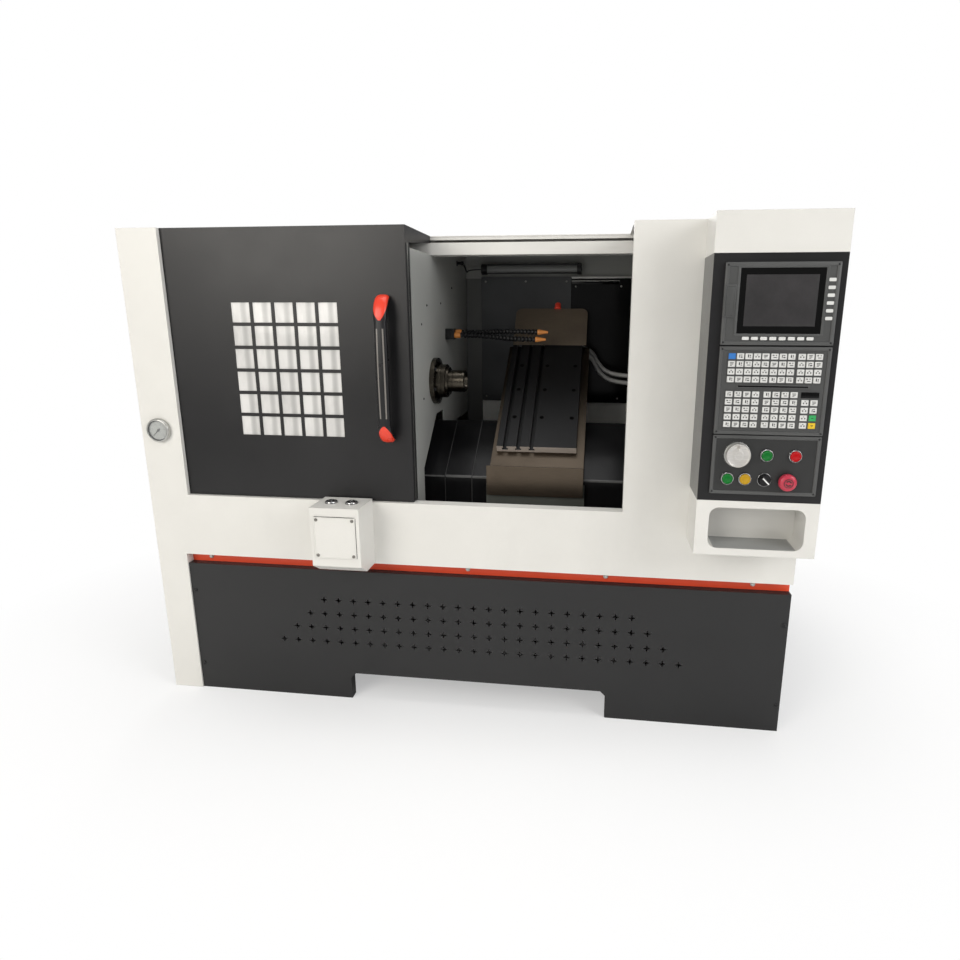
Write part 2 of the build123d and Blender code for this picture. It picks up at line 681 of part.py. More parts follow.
def way_covers():
    """Nested plates on both sides of the saddle, the widest on the saddle itself."""
    edge = SADDLE_X0 - LEFT_SADDLE_PLATE_W
    keep("way_covers_saddle", way_cover(0, edge, SADDLE_X0),
         way_cover(0, SADDLE_X1, SADDLE_X1 + RIGHT_PLATE_W))
    left = [edge - LEFT_PITCH * step for step in (1, 2, 3)]
    keep("way_cover_left_outer", way_cover(1, left[0], left[0] + LEFT_PLATE_W))
    keep("way_cover_left_inner", way_cover(2, left[1], left[1] + LEFT_PLATE_W))
    right = SADDLE_X1 + RIGHT_PLATE_W + RIGHT_PITCH
    keep("way_cover_right", way_cover(1, right - RIGHT_PLATE_W, right))
    keep("way_covers_fixed", way_cover(3, left[2], left[2] + LEFT_PLATE_W),
         way_cover(2, RIGHT_WALL_X - RIGHT_PLATE_W, RIGHT_WALL_X))


def rail(width, height, x=None, u=None, base_n=0):
    """Waisted guide rail on the slope: along x at a place u, or along u at a place x."""
    half = width / 2
    waist = half - RAIL_WAIST
    flank = [(half, 0), (half, height / 3), (waist, height / 2), (half, height * 2 / 3), (half, height)]
    profile = [(side, base_n + level) for side, level in flank]
    profile += [(-side, base_n + level) for side, level in reversed(flank)]
    if isinstance(x, tuple):
        return SLOPE * prism([(u + side, level) for side, level in profile], "x", x[0], x[1])
    return SLOPE * prism([(x + side, level) for side, level in profile], "y", u[0], u[1])


def bed():
    """Cored slant bed with the Z rails, screw blocks, screw and its servo motor."""
    toe = at_slope(BED_U0, -BED_DROP)
    crest = at_slope(BED_U1, -BED_DROP)
    outline = [(toe[0], BASE_H), toe, crest, (crest[0] + BED_BACK, crest[1]),
               (crest[0] + BED_BACK, BASE_H)]
    face = make_face(Polyline(*[(BED_X0, y, z) for y, z in outline], close=True).edges())
    core = offset(face, amount=-BED_WALL, kind=Kind.INTERSECTION)
    casting = extrude(face, amount=BED_X1 - BED_X0, dir=(1, 0, 0))
    casting -= Pos(-OVERRUN, 0, 0) * extrude(core, amount=BED_X1 - BED_X0 + OVERRUN * 2, dir=(1, 0, 0))
    keep("bed_casting", casting)

    x1 = RIGHT_WALL_X - Z_RAIL_END
    for u in (Z_RAIL_U, Z_RAIL_U + Z_RAIL_SPAN):
        keep("z_guides", rail(Z_RAIL_W, Z_RAIL_H, x=(Z_RAIL_X0, x1), u=u, base_n=-BED_DROP))
    mid_u = Z_RAIL_U + Z_RAIL_SPAN / 2
    axis_n = Z_SCREW_N - BED_DROP
    for x in (Z_RAIL_X0, x1 - Z_BLOCK_L):
        across = (mid_u - Z_BLOCK_W / 2, mid_u + Z_BLOCK_W / 2)
        holder = block((x, x + Z_BLOCK_L), across, (-BED_DROP, Z_BLOCK_H - BED_DROP))
        holder -= flats(Z_SCREW_R + FIT_GAP, CORE_SIDES, (x - OVERRUN, mid_u, axis_n), "x",
                        Z_BLOCK_L + OVERRUN * 2, inside=True)
        keep("z_guides", SLOPE * holder)
    length = x1 + Z_BELL_L - OVERRUN - Z_RAIL_X0
    keep("z_screw", SLOPE * rod(Z_SCREW_R, (Z_RAIL_X0, mid_u, axis_n), "x", length))
    bell_half = Z_BELL / 2
    motor = block((x1, x1 + Z_BELL_L), (mid_u - bell_half, mid_u + bell_half),
                  (axis_n - bell_half, axis_n + bell_half))
    motor += block((x1 + Z_BELL_L, x1 + Z_BELL_L + Z_MOTOR_L),
                   (mid_u - Z_MOTOR / 2, mid_u + Z_MOTOR / 2),
                   (axis_n - Z_MOTOR / 2, axis_n + Z_MOTOR / 2))
    motor -= flats(Z_SCREW_R + FIT_GAP, CORE_SIDES, (x1 - OVERRUN, mid_u, axis_n), "x",
                   Z_BELL_L + OVERRUN, inside=True)
    keep("drive_motors", SLOPE * motor)


def saddle():
    """Saddle on the Z rails, its carriages and nut, X rails, X screw and X motor."""
    under = CARRIAGE_H - BED_DROP
    front_u = (SADDLE_FRONT_Y - BEND_Y) / COS
    outline = [(SADDLE_FRONT_Y, SADDLE_TOE_Z), (SADDLE_FRONT_Y + SADDLE_TOE_D, SADDLE_TOE_Z),
               at_slope(0, under), at_slope(BED_U1, under), at_slope(SADDLE_U1, -SADDLE_TIP_N),
               at_slope(SADDLE_U1, 0), at_slope(front_u, 0)]
    body = prism(outline, "x", SADDLE_X0, SADDLE_X1)
    body -= SLOPE * block((SADDLE_MID - TROUGH_W / 2, SADDLE_MID + TROUGH_W / 2),
                          (front_u - RETURN_D, SADDLE_U1 + OVERRUN), (-TROUGH_D, OVERRUN))
    body += block((SADDLE_MID - SADDLE_PLATE_W / 2, SADDLE_MID + SADDLE_PLATE_W / 2),
                  (SADDLE_FRONT_Y - SADDLE_PLATE_T, SADDLE_FRONT_Y),
                  (SADDLE_TOE_Z, SADDLE_TOE_Z + SADDLE_PLATE_H))
    terminal_x = SADDLE_X1 - TERMINAL_INSET
    body += SLOPE * block((terminal_x - TERMINAL_W, terminal_x), (TERMINAL_U0, TERMINAL_U1),
                          (0, TERMINAL_H))
    keep("saddle", body)

    for u in (Z_RAIL_U, Z_RAIL_U + Z_RAIL_SPAN):
        for x in (SADDLE_X0, SADDLE_X1 - CARRIAGE_L):
            across = (u - CARRIAGE_W / 2, u + CARRIAGE_W / 2)
            carriage = block((x, x + CARRIAGE_L), across, (CARRIAGE_LIFT - BED_DROP, under))
            carriage -= block((x - OVERRUN, x + CARRIAGE_L + OVERRUN),
                              (u - Z_RAIL_W / 2 - RAIL_PLAY, u + Z_RAIL_W / 2 + RAIL_PLAY),
                              (-BED_DROP, Z_RAIL_H + RAIL_PLAY - BED_DROP))
            keep("z_carriages", SLOPE * carriage)
    mid_u = Z_RAIL_U + Z_RAIL_SPAN / 2
    nut_x = (SADDLE_MID - NUT_L / 2, SADDLE_MID + NUT_L / 2)
    nut = block(nut_x, (mid_u - NUT_W / 2, mid_u + NUT_W / 2), (CARRIAGE_LIFT - BED_DROP, under))
    nut -= flats(Z_SCREW_R + FIT_GAP, CORE_SIDES, (nut_x[0] - OVERRUN, mid_u, Z_SCREW_N - BED_DROP), "x",
                 NUT_L + OVERRUN * 2, inside=True)
    keep("z_carriages", SLOPE * nut)

    for side in (-X_RAIL_SPAN / 2, X_RAIL_SPAN / 2):
        keep("x_guides", rail(X_RAIL_W, X_RAIL_H, x=SADDLE_MID + side, u=(X_RAIL_U0, X_RAIL_U1)))
    u_top = SADDLE_U1 - X_BLOCK_L
    for u in (X_RAIL_U0, u_top):
        holder = block((SADDLE_MID - X_BLOCK_W / 2, SADDLE_MID + X_BLOCK_W / 2), (u, u + X_BLOCK_L),
                       (-TROUGH_D, X_BLOCK_H))
        holder -= flats(X_SCREW_R + FIT_GAP, CORE_SIDES, (SADDLE_MID, u - OVERRUN, X_SCREW_N), "y",
                        X_BLOCK_L + OVERRUN * 2, inside=True)
        keep("x_guides", SLOPE * holder)
    length = SADDLE_U1 + X_BLOCK_L - X_RAIL_U0
    keep("x_screw", SLOPE * rod(X_SCREW_R, (SADDLE_MID, X_RAIL_U0, X_SCREW_N), "y", length))
    motor = block((SADDLE_MID - X_MOTOR / 2, SADDLE_MID + X_MOTOR / 2),
                  (SADDLE_U1, SADDLE_U1 + X_MOTOR_L), (X_SCREW_N - X_MOTOR / 2, X_SCREW_N + X_MOTOR / 2))
    motor -= flats(X_SCREW_R + FIT_GAP, CORE_SIDES, (SADDLE_MID, SADDLE_U1 - OVERRUN, X_SCREW_N), "y",
                   X_BLOCK_L + OVERRUN * 2, inside=True)
    keep("x_motor", SLOPE * motor)


def cross_slide():
    """Slide base with its lip, carriages and nut, T-slotted gang plate, apron and hood."""
    x0 = SLIDE_X0
    x1 = SLIDE_X0 + SLIDE_W
    lip = (x0 - LIP_OUT_LEFT, x1 + LIP_OUT_RIGHT)
    base = block(lip, (SLIDE_U0, SLIDE_U1), (SLIDE_N, SLIDE_TOP_N))
    keep("cross_slide", SLOPE * base)

    for side in (-X_RAIL_SPAN / 2, X_RAIL_SPAN / 2):
        for u in (X_CARRIAGE_U, X_CARRIAGE_U + X_CARRIAGE_SPAN):
            mid = SADDLE_MID + side
            carriage = block((mid - X_CARRIAGE_W / 2, mid + X_CARRIAGE_W / 2), (u, u + CARRIAGE_L),
                             (X_CARRIAGE_LIFT, SLIDE_N))
            carriage -= block((mid - X_RAIL_W / 2 - RAIL_PLAY, mid + X_RAIL_W / 2 + RAIL_PLAY),
                              (u - OVERRUN, u + CARRIAGE_L + OVERRUN), (0, X_RAIL_H + RAIL_PLAY))
            keep("x_carriages", SLOPE * carriage)
    nut_u = X_CARRIAGE_U + X_CARRIAGE_SPAN / 2
    nut = block((SADDLE_MID - X_NUT_W / 2, SADDLE_MID + X_NUT_W / 2), (nut_u, nut_u + NUT_L),
                (X_NUT_LIFT - TROUGH_D, SLIDE_N))
    nut -= flats(X_SCREW_R + FIT_GAP, CORE_SIDES, (SADDLE_MID, nut_u - OVERRUN, X_SCREW_N), "y",
                 NUT_L + OVERRUN * 2, inside=True)
    keep("x_carriages", SLOPE * nut)

    section = [(x0, SLIDE_TOP_N), (x1, SLIDE_TOP_N), (x1, GANG_TOP_N)]
    for slot in reversed(range(SLOT_COUNT)):
        mid = x0 + SLOT_FIRST + slot * SLOT_PITCH
        neck = SLOT_NECK_W / 2
        head = SLOT_HEAD_W / 2
        shoulder = GANG_TOP_N - SLOT_NECK_D
        floor = shoulder - SLOT_HEAD_D
        section += [(mid + neck, GANG_TOP_N), (mid + neck, shoulder), (mid + head, shoulder),
                    (mid + head, floor), (mid - head, floor), (mid - head, shoulder),
                    (mid - neck, shoulder), (mid - neck, GANG_TOP_N)]
    section.append((x0, GANG_TOP_N))
    gang = prism(section, "y", GANG_U0, GANG_U1)
    keep("gang_plate", SLOPE * gang)

    corner = at_slope(SLIDE_U0, SLIDE_N)
    top = at_slope(SLIDE_U0, SLIDE_TOP_N)
    fold = [(APRON_Y, APRON_Z0), (APRON_Y, top[1]), top, corner, (APRON_Y + APRON_T, corner[1]),
            (APRON_Y + APRON_T, APRON_Z0)]
    apron = prism(fold, "x", lip[0] - APRON_SPLAY, lip[1])
    keep("slide_apron", apron)

    plane = SLOPE * Plane(origin=(0, HOOD_U0, GANG_TOP_N)).rotated((HOOD_TILT, 0, 0))
    wide = (x0, x1 + HOOD_OUT_RIGHT)
    sheet = block(wide, (0, HOOD_L), (0, COVER_SHEET))
    far = sheet.edges().filter_by(Axis.Z).group_by(Axis.Y)[-1]
    sheet = fillet(far, HOOD_CORNER_R)
    for x in (wide[0], wide[1] - COVER_SHEET):
        sheet += block((x, x + COVER_SHEET), (SLIDE_U1 - HOOD_U0 + OVERRUN, HOOD_L - HOOD_CORNER_R),
                       (-HOOD_FLANK, 0))
    keep("slide_hood", plane * sheet)
    plug = extrude(RegularPolygon(HOOD_PLUG_R, side_count=CORE_SIDES), amount=HOOD_PLUG_H)
    plug_x = wide[0] + (wide[1] - wide[0]) * HOOD_PLUG_SHARE
    keep("slide_hood", plane * Pos(plug_x, HOOD_L, COVER_SHEET / 2) * Rot(-90, 0, 0) * plug)



def headstock():
    """Headstock housing on the bed with its bearings, spindle with pulley, motor, belt."""
    foot = (at_slope(0, -BED_DROP), at_slope(BED_U1, -BED_DROP))
    axis = (SPINDLE_Y, SPINDLE_Z)
    body = prism([foot[0], (SPINDLE_Y - HOUSING_R, SPINDLE_Z), (SPINDLE_Y + HOUSING_R, SPINDLE_Z),
                  foot[1]], "x", BED_X0, HOUSING_X1)
    body += flats(HOUSING_R, PIN_SIDES, (BED_X0, *axis), "x", HOUSING_X1 - BED_X0)
    body += flats(QUILL_R, PIN_SIDES, (HOUSING_X1, *axis), "x", HEAD_WALL_X - HOUSING_X1)
    body += flats(CAP_R, DIAL_SIDES, (HEAD_WALL_X, *axis), "x", CAP_T)
    face_x = HEAD_WALL_X + CAP_T
    body -= flats(BEARING_R, PIN_SIDES, (BED_X0 - OVERRUN, *axis), "x", face_x - BED_X0 + OVERRUN * 2,
                  inside=True)
    seats = (BED_X0 + BEARING_INSET, HEAD_WALL_X - BEARING_W - BEARING_INSET)
    keep("headstock", body)
    for x in seats:
        ring = flats(BEARING_R, PIN_SIDES, (x, *axis), "x", BEARING_W, inside=True)
        ring -= flats(SPINDLE_R + FIT_GAP, PIN_SIDES, (x - OVERRUN, *axis), "x", BEARING_W + OVERRUN * 2,
                      inside=True)
        keep("headstock", ring)

    ring_x = face_x + RUN_GAP
    nose_x = ring_x + RING_L
    tip = nose_x + NOSE_L
    spindle = flats(PULLEY_R, PIN_SIDES, (SPINDLE_X0, *axis), "x", PULLEY_W)
    spindle += flats(SPINDLE_R, PIN_SIDES, (SPINDLE_X0, *axis), "x", ring_x - SPINDLE_X0)
    spindle += flats(RING_R, DIAL_SIDES, (ring_x, *axis), "x", RING_L)
    spindle += flats(NOSE_R, DIAL_SIDES, (nose_x, *axis), "x", NOSE_L)
    spindle -= rod(SPINDLE_BORE_R, (SPINDLE_X0 - OVERRUN, *axis), "x", tip - SPINDLE_X0 + OVERRUN * 2)
    keep("spindle", spindle)

    motor_axis = (MOTOR_Y, MOTOR_Z)
    motor = flats(MOTOR_R, PIN_SIDES, (BED_X0, *motor_axis), "x", MOTOR_L)
    motor_x = (BED_X0, BED_X0 + MOTOR_L)
    motor += block(motor_x, (MOTOR_Y - MOTOR_R, MOTOR_Y + MOTOR_R), (BASE_H, BASE_H + MOTOR_FOOT))
    motor += block(motor_x, (MOTOR_Y - MOTOR_R / 2, MOTOR_Y + MOTOR_R / 2), (BASE_H, MOTOR_Z))
    motor += block((BED_X0 + TERMINAL_BOX, BED_X0 + TERMINAL_BOX * 2),
                   (MOTOR_Y - TERMINAL_BOX / 2, MOTOR_Y + TERMINAL_BOX / 2),
                   (MOTOR_Z, MOTOR_Z + MOTOR_R + MOTOR_FOOT))
    motor -= flats(MOTOR_SHAFT_R + FIT_GAP, CORE_SIDES, (BED_X0 - OVERRUN, *motor_axis), "x",
                   MOTOR_SHAFT_L + OVERRUN, inside=True)
    keep("drive_motors", motor)
    pulley = flats(MOTOR_PULLEY_R, PIN_SIDES, (SPINDLE_X0, *motor_axis), "x", PULLEY_W)
    shaft_end = BED_X0 + MOTOR_SHAFT_L - RUN_GAP
    pulley += rod(MOTOR_SHAFT_R, (SPINDLE_X0, *motor_axis), "x", shaft_end - SPINDLE_X0)
    keep("motor_pulley", pulley)
    loops = []
    for grow in (RUN_GAP, RUN_GAP + BELT_T):
        rings = Pos(*axis) * RegularPolygon(PULLEY_R + grow, side_count=PIN_SIDES, major_radius=False)
        rings += Pos(*motor_axis) * RegularPolygon(MOTOR_PULLEY_R + grow, side_count=PIN_SIDES,
                                                   major_radius=False)
        loops.append(extrude(make_hull(rings.edges()), amount=PULLEY_W - RUN_GAP * 2))
    belt = loops[1] - loops[0]
    keep("drive_belt", Plane(origin=(SPINDLE_X0 + RUN_GAP, 0, 0), x_dir=(0, 1, 0),
                             z_dir=(1, 0, 0)) * belt)


def shell_box(z0, z1):
    """Folded cabinet box, open towards the guard."""
    box = block((BOX_X0, GUARD_W), (-BOX_D, 0), (z0, z1))
    return box - block((BOX_X0 + BOX_SHEET, GUARD_W - BOX_SHEET), (-BOX_D + BOX_SHEET, OVERRUN),
                       (z0 + BOX_SHEET, z1 - BOX_SHEET))


def cabinet():
    """Control cabinet: white head and tray boxes, dark housing and its three face modules."""
    keep("control_cabinet", shell_box(HOUSING_TOP, GUARD_H))
    pocket_mid = (BOX_X0 + POCKET_X + POCKET_W / 2, -BOX_D, BOX_Z0 + POCKET_Z + POCKET_H / 2)
    mouth = Plane(origin=pocket_mid, x_dir=(1, 0, 0), z_dir=(0, 1, 0))
    lining = (POCKET_W + BOX_SHEET * 2, POCKET_H + BOX_SHEET * 2, POCKET_R + BOX_SHEET)
    tray = shell_box(BOX_Z0, TRAY_TOP)
    tray += mouth * extrude(RectangleRounded(*lining), amount=POCKET_D + BOX_SHEET)
    tray -= mouth * extrude(RectangleRounded(POCKET_W, POCKET_H, POCKET_R), amount=POCKET_D)
    keep("control_cabinet", tray)
    housing = shell_box(TRAY_TOP, HOUSING_TOP)
    x0 = BOX_X0 + MODULE_X
    x1 = x0 + MODULE_W

    bezel = block((x0, x1), (MODULE_FACE, -BOX_D), (SCREEN_Z, SCREEN_Z + SCREEN_H))
    glass = ((x0 + GLASS_X, x0 + GLASS_X + GLASS_W), (SCREEN_Z + GLASS_Z, SCREEN_Z + GLASS_Z + GLASS_H))
    seat = MODULE_FACE + GLASS_T
    bezel -= block(glass[0], (MODULE_FACE - OVERRUN, seat), glass[1])
    keys = [(SIDE_KEY_X, SIDE_KEY_Z + SIDE_KEY_PITCH * row) for row in range(SIDE_KEYS)]
    keys += [(LOW_KEY_X + LOW_KEY_PITCH * column, LOW_KEY_Z) for column in range(LOW_KEYS)]
    for x, z in keys:
        bezel += block((x0 + x, x0 + x + SOFTKEY_W), (MODULE_FACE - SOFTKEY_T, MODULE_FACE),
                       (SCREEN_Z + z, SCREEN_Z + z + SOFTKEY_H))
    keep("screen_bezel", bezel)
    keep("screen_glass", block(glass[0], (MODULE_FACE, seat), glass[1]))
    flap = block((x0 + CARD_X, x0 + CARD_X + CARD_W), (MODULE_FACE - CARD_T, MODULE_FACE),
                 (SCREEN_Z + CARD_Z, SCREEN_Z + CARD_Z + CARD_H))
    flap += rod(CARD_PIN_R, (x0 + CARD_X, MODULE_FACE - CARD_T, SCREEN_Z + CARD_Z), "z", CARD_H)
    keep("card_door", flap)

    keypad = block((x0, x1), (MODULE_FACE, -BOX_D), (KEYPAD_Z, KEYPAD_Z + KEYPAD_H))
    for z, height in ((PAD_LOW_Z, PAD_LOW_H), (PAD_TOP_Z, PAD_TOP_H)):
        keypad += block((x0 + PAD_X, x0 + PAD_X + PAD_W), (MODULE_FACE - PAD_T, MODULE_FACE),
                        (KEYPAD_Z + z, KEYPAD_Z + z + height))
    keep("keypad", keypad)

    plate = block((x0, x1), (OPERATOR_FACE, -BOX_D), (OPERATOR_Z, OPERATOR_Z + OPERATOR_H))

    def at(name, y, lift=0):
        across, up = PLACE_SHARES[name]
        return (x0 + across * MODULE_W, y, OPERATOR_Z + up * OPERATOR_H + lift)

    buttons = ("start_button", "stop_button", "clamp_button", "coolant_button")
    bores = {name: PLUNGER_R for name in (*buttons, "mode_selector")}
    bores["emergency_stop"] = MUSHROOM_STEM_R
    bores["handwheel"] = WHEEL_SHAFT_R
    for name, radius in bores.items():
        plate -= flats(radius + FIT_GAP, BORE_SIDES, at(name, OPERATOR_FACE - OVERRUN), "y", BOX_D,
                       inside=True)
    housing -= block((x0 + MODULE_T, x1 - MODULE_T), (-BOX_D - OVERRUN, -BOX_D + BOX_SHEET + OVERRUN),
                     (OPERATOR_Z + MODULE_T, OPERATOR_Z + OPERATOR_H - MODULE_T))
    keep("operator_plate", plate)
    keep("control_housing", housing)
    for name in buttons:
        keep(name, flats(PLUNGER_R, PIN_SIDES, at(name, OPERATOR_FACE - PLUNGER_PROUD), "y",
                         PLUNGER_PROUD + PLUNGER_L))
    wheel_face = OPERATOR_FACE - WHEEL_GAP - WHEEL_T
    wheel = flats(WHEEL_R, DIAL_SIDES, at("handwheel", wheel_face), "y", WHEEL_T)
    wheel -= flats(WHEEL_R - WHEEL_RIM, DIAL_SIDES, at("handwheel", wheel_face - OVERRUN), "y",
                   WHEEL_DISH + OVERRUN)
    wheel += rod(WHEEL_SHAFT_R, at("handwheel", OPERATOR_FACE - WHEEL_GAP), "y",
                 WHEEL_GAP + WHEEL_SHAFT_L)
    spinner = at("handwheel", wheel_face - SPINNER_H, SPINNER_AT)
    wheel += flats(SPINNER_R, CORE_SIDES, spinner, "y", SPINNER_H + WHEEL_DISH)
    keep("handwheel", wheel)
    knob_base = OPERATOR_FACE - RUN_GAP
    knob = rod(PLUNGER_R, at("mode_selector", knob_base - KNOB_SKIRT_H), "y", KNOB_SKIRT_H + PLUNGER_L)
    grip = at("mode_selector", knob_base)
    knob += block((grip[0] - KNOB_GRIP_W / 2, grip[0] + KNOB_GRIP_W / 2),
                  (knob_base - KNOB_H, knob_base - KNOB_SKIRT_H), (grip[2] - KNOB_R, grip[2] + KNOB_R))
    keep("mode_selector", knob)
    brim = OPERATOR_FACE - MUSHROOM_TRAVEL - RUN_GAP
    stop = flats(MUSHROOM_R, DIAL_SIDES, at("emergency_stop", brim - MUSHROOM_H / 2), "y", MUSHROOM_H / 2)
    crown = extrude(RegularPolygon(MUSHROOM_R, side_count=DIAL_SIDES), amount=MUSHROOM_H / 2,
                    taper=CROWN_TAPER)
    stop += Plane(origin=at("emergency_stop", brim - MUSHROOM_H / 2), x_dir=(-1, 0, 0),
                  z_dir=(0, -1, 0)) * crown
    stop += flats(MUSHROOM_STEM_R, CORE_SIDES, at("emergency_stop", brim), "y",
                  OPERATOR_FACE + PLUNGER_L - brim)
    keep("emergency_stop", stop)


def button_box():
    """Cast push-button box on the band with its cover and two buttons."""
    profile = [(0, PB_Z0), (0, PB_Z1), (-PB_D, PB_Z1), (-PB_D, PB_Z0 + PB_CHAMFER_H),
               (PB_CHAMFER_D - PB_D, PB_Z0)]
    body = prism(profile, "x", PB_X0, PB_X0 + PB_W)
    mid = PB_X0 + PB_W / 2
    mid_z = (PB_Z0 + PB_CHAMFER_H + PB_Z1) / 2
    body += block((mid - PB_COVER / 2, mid + PB_COVER / 2), (-PB_D - PB_COVER_T, -PB_D),
                  (mid_z - PB_COVER / 2, mid_z + PB_COVER / 2))
    places = {"left_box_button": mid - PB_BUTTON_SPAN / 2, "right_box_button": mid + PB_BUTTON_SPAN / 2}
    for x in places.values():
        body -= flats(PB_PLUNGER_R + FIT_GAP, CORE_SIDES, (x, -PB_BUTTON_Y, PB_Z1 - PB_BORE), "z",
                      PB_BORE + OVERRUN, inside=True)
    keep("button_box", body)
    for name, x in places.items():
        keep(name, flats(PB_PLUNGER_R, PIN_SIDES, (x, -PB_BUTTON_Y, PB_Z1 - PLUNGER_L), "z",
                         PLUNGER_L + PB_PROUD))


def gauge():
    """Round pressure gauge with a recessed dial and its needle."""
    floor = GAUGE_RECESS - GAUGE_H
    case = flats(GAUGE_R, DIAL_SIDES, (GAUGE_X, -GAUGE_H, GAUGE_Z), "y", GAUGE_H)
    case -= flats(GAUGE_FACE_R, DIAL_SIDES, (GAUGE_X, -GAUGE_H - OVERRUN, GAUGE_Z), "y",
                  GAUGE_RECESS + OVERRUN)
    keep("gauge_case", case)
    y = floor - RUN_GAP - NEEDLE_T
    half = NEEDLE_W / 2
    needle = prism([(-NEEDLE_L, 0), (0, half), (NEEDLE_TAIL, half), (NEEDLE_TAIL, -half), (0, -half)],
                   "y", y, y + NEEDLE_T)
    needle += rod(NEEDLE_W, (0, y, 0), "y", NEEDLE_T)
    keep("gauge_needle", Pos(GAUGE_X, 0, GAUGE_Z) * Rot(0, NEEDLE_REST, 0) * needle)


def services():
    """Work lamp and its lead, coolant line with two nozzles, and the two conduits of the saddle."""
    lamp = flats(LAMP_R, PIN_SIDES, (LAMP_X0, LAMP_Y, LAMP_Z), "x", LAMP_L)
    for x in (LAMP_X0, LAMP_X0 + LAMP_L - LAMP_CLIP_W):
        lamp += block((x, x + LAMP_CLIP_W), (LAMP_Y, BACK_Y),
                      (LAMP_Z - LAMP_CLIP_H / 2, LAMP_Z + LAMP_CLIP_H / 2))
    keep("work_lamp", lamp)
    gland_x = HEAD_WALL_X + LEAD_GLAND_OUT
    gland_y = LEAD_GLAND_Y - LEAD_GLAND_L
    gland = flats(LEAD_GLAND_R, NUT_SIDES, (gland_x, gland_y, LEAD_GLAND_Z), "y", LEAD_GLAND_L)
    gland += block((HEAD_WALL_X, gland_x), (gland_y, LEAD_GLAND_Y - LEAD_GLAND_R),
                   (LEAD_GLAND_Z - LEAD_GLAND_R / 2, LEAD_GLAND_Z + LEAD_GLAND_R / 2))
    keep("lamp_lead", gland)
    lead = []
    for across, along, sag in LEAD_SHARES:
        lead.append((gland_x + (LAMP_X0 - gland_x) * across, LAMP_Y + (LEAD_GLAND_Y - LAMP_Y) * along,
                     LAMP_Z + (LEAD_GLAND_Z - LAMP_Z) * along - LEAD_SAG * sag))
    keep("lamp_lead", tube(lead, LEAD_R))

    x0 = HEAD_WALL_X
    half = COOLANT_BLOCK / 2
    block_x1 = x0 + COOLANT_BLOCK_L
    keep("coolant_line", block((x0, block_x1), (COOLANT_Y - half, COOLANT_Y + half),
                               (COOLANT_Z - half, COOLANT_Z + half)))
    hose_x = block_x1 + COOLANT_NUT_L
    for side, length in ((COOLANT_SPREAD / 2, HOSE_L), (-COOLANT_SPREAD / 2, HOSE_LOW_L)):
        z = COOLANT_Z + side
        keep("coolant_fittings",
             flats(COOLANT_NUT_R, NUT_SIDES, (block_x1, COOLANT_Y, z), "x", COOLANT_NUT_L))
        keep("coolant_line", flats(HOSE_R, CORE_SIDES, (hose_x, COOLANT_Y, z), "x", length))
        tip = extrude(RegularPolygon(HOSE_R, side_count=CORE_SIDES), amount=NOZZLE_L, taper=NOZZLE_TAPER)
        keep("coolant_fittings", Plane(origin=(hose_x + length, COOLANT_Y, z), z_dir=(1, 0, 0)) * tip)

    start = SADDLE_X1 - TERMINAL_INSET
    end = RIGHT_WALL_X - CONDUIT_GLAND_L
    for y, high, low in ((CONDUIT_UPPER_Y, CONDUIT_UPPER_HIGH, CONDUIT_UPPER_LOW),
                         (CONDUIT_LOWER_Y, CONDUIT_LOWER_HIGH, CONDUIT_LOWER_LOW)):
        route = [(start + (end - start) * along, y, low + (high - low) * level)
                 for along, level in CONDUIT_SHARES]
        keep("conduits", tube(route, CONDUIT_R))
        keep("lamp_lead", flats(CONDUIT_GLAND_R, NUT_SIDES, route[-1], "x", CONDUIT_GLAND_L))


for make in (base, enclosure, inner_panels, sliding_door, way_covers, bed, saddle, cross_slide,
             headstock, cabinet, button_box, gauge, services):
    make()

os.makedirs("parts", exist_ok=True)
to_centre = Pos(-GUARD_W / 2, (REACH - BODY_D) / 2, 0)
for name, shapes in PIECES.items():
    solids = [to_centre * solid for shape in shapes for solid in shape.solids()]
    export_step(solids[0] if len(solids) == 1 else Compound(children=solids), f"parts/{name}.step")
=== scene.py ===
import functools
import math

import bmesh
import bpy
from bpy.props import FloatProperty, FloatVectorProperty, IntProperty, PointerProperty
from mathutils import Matrix, Vector


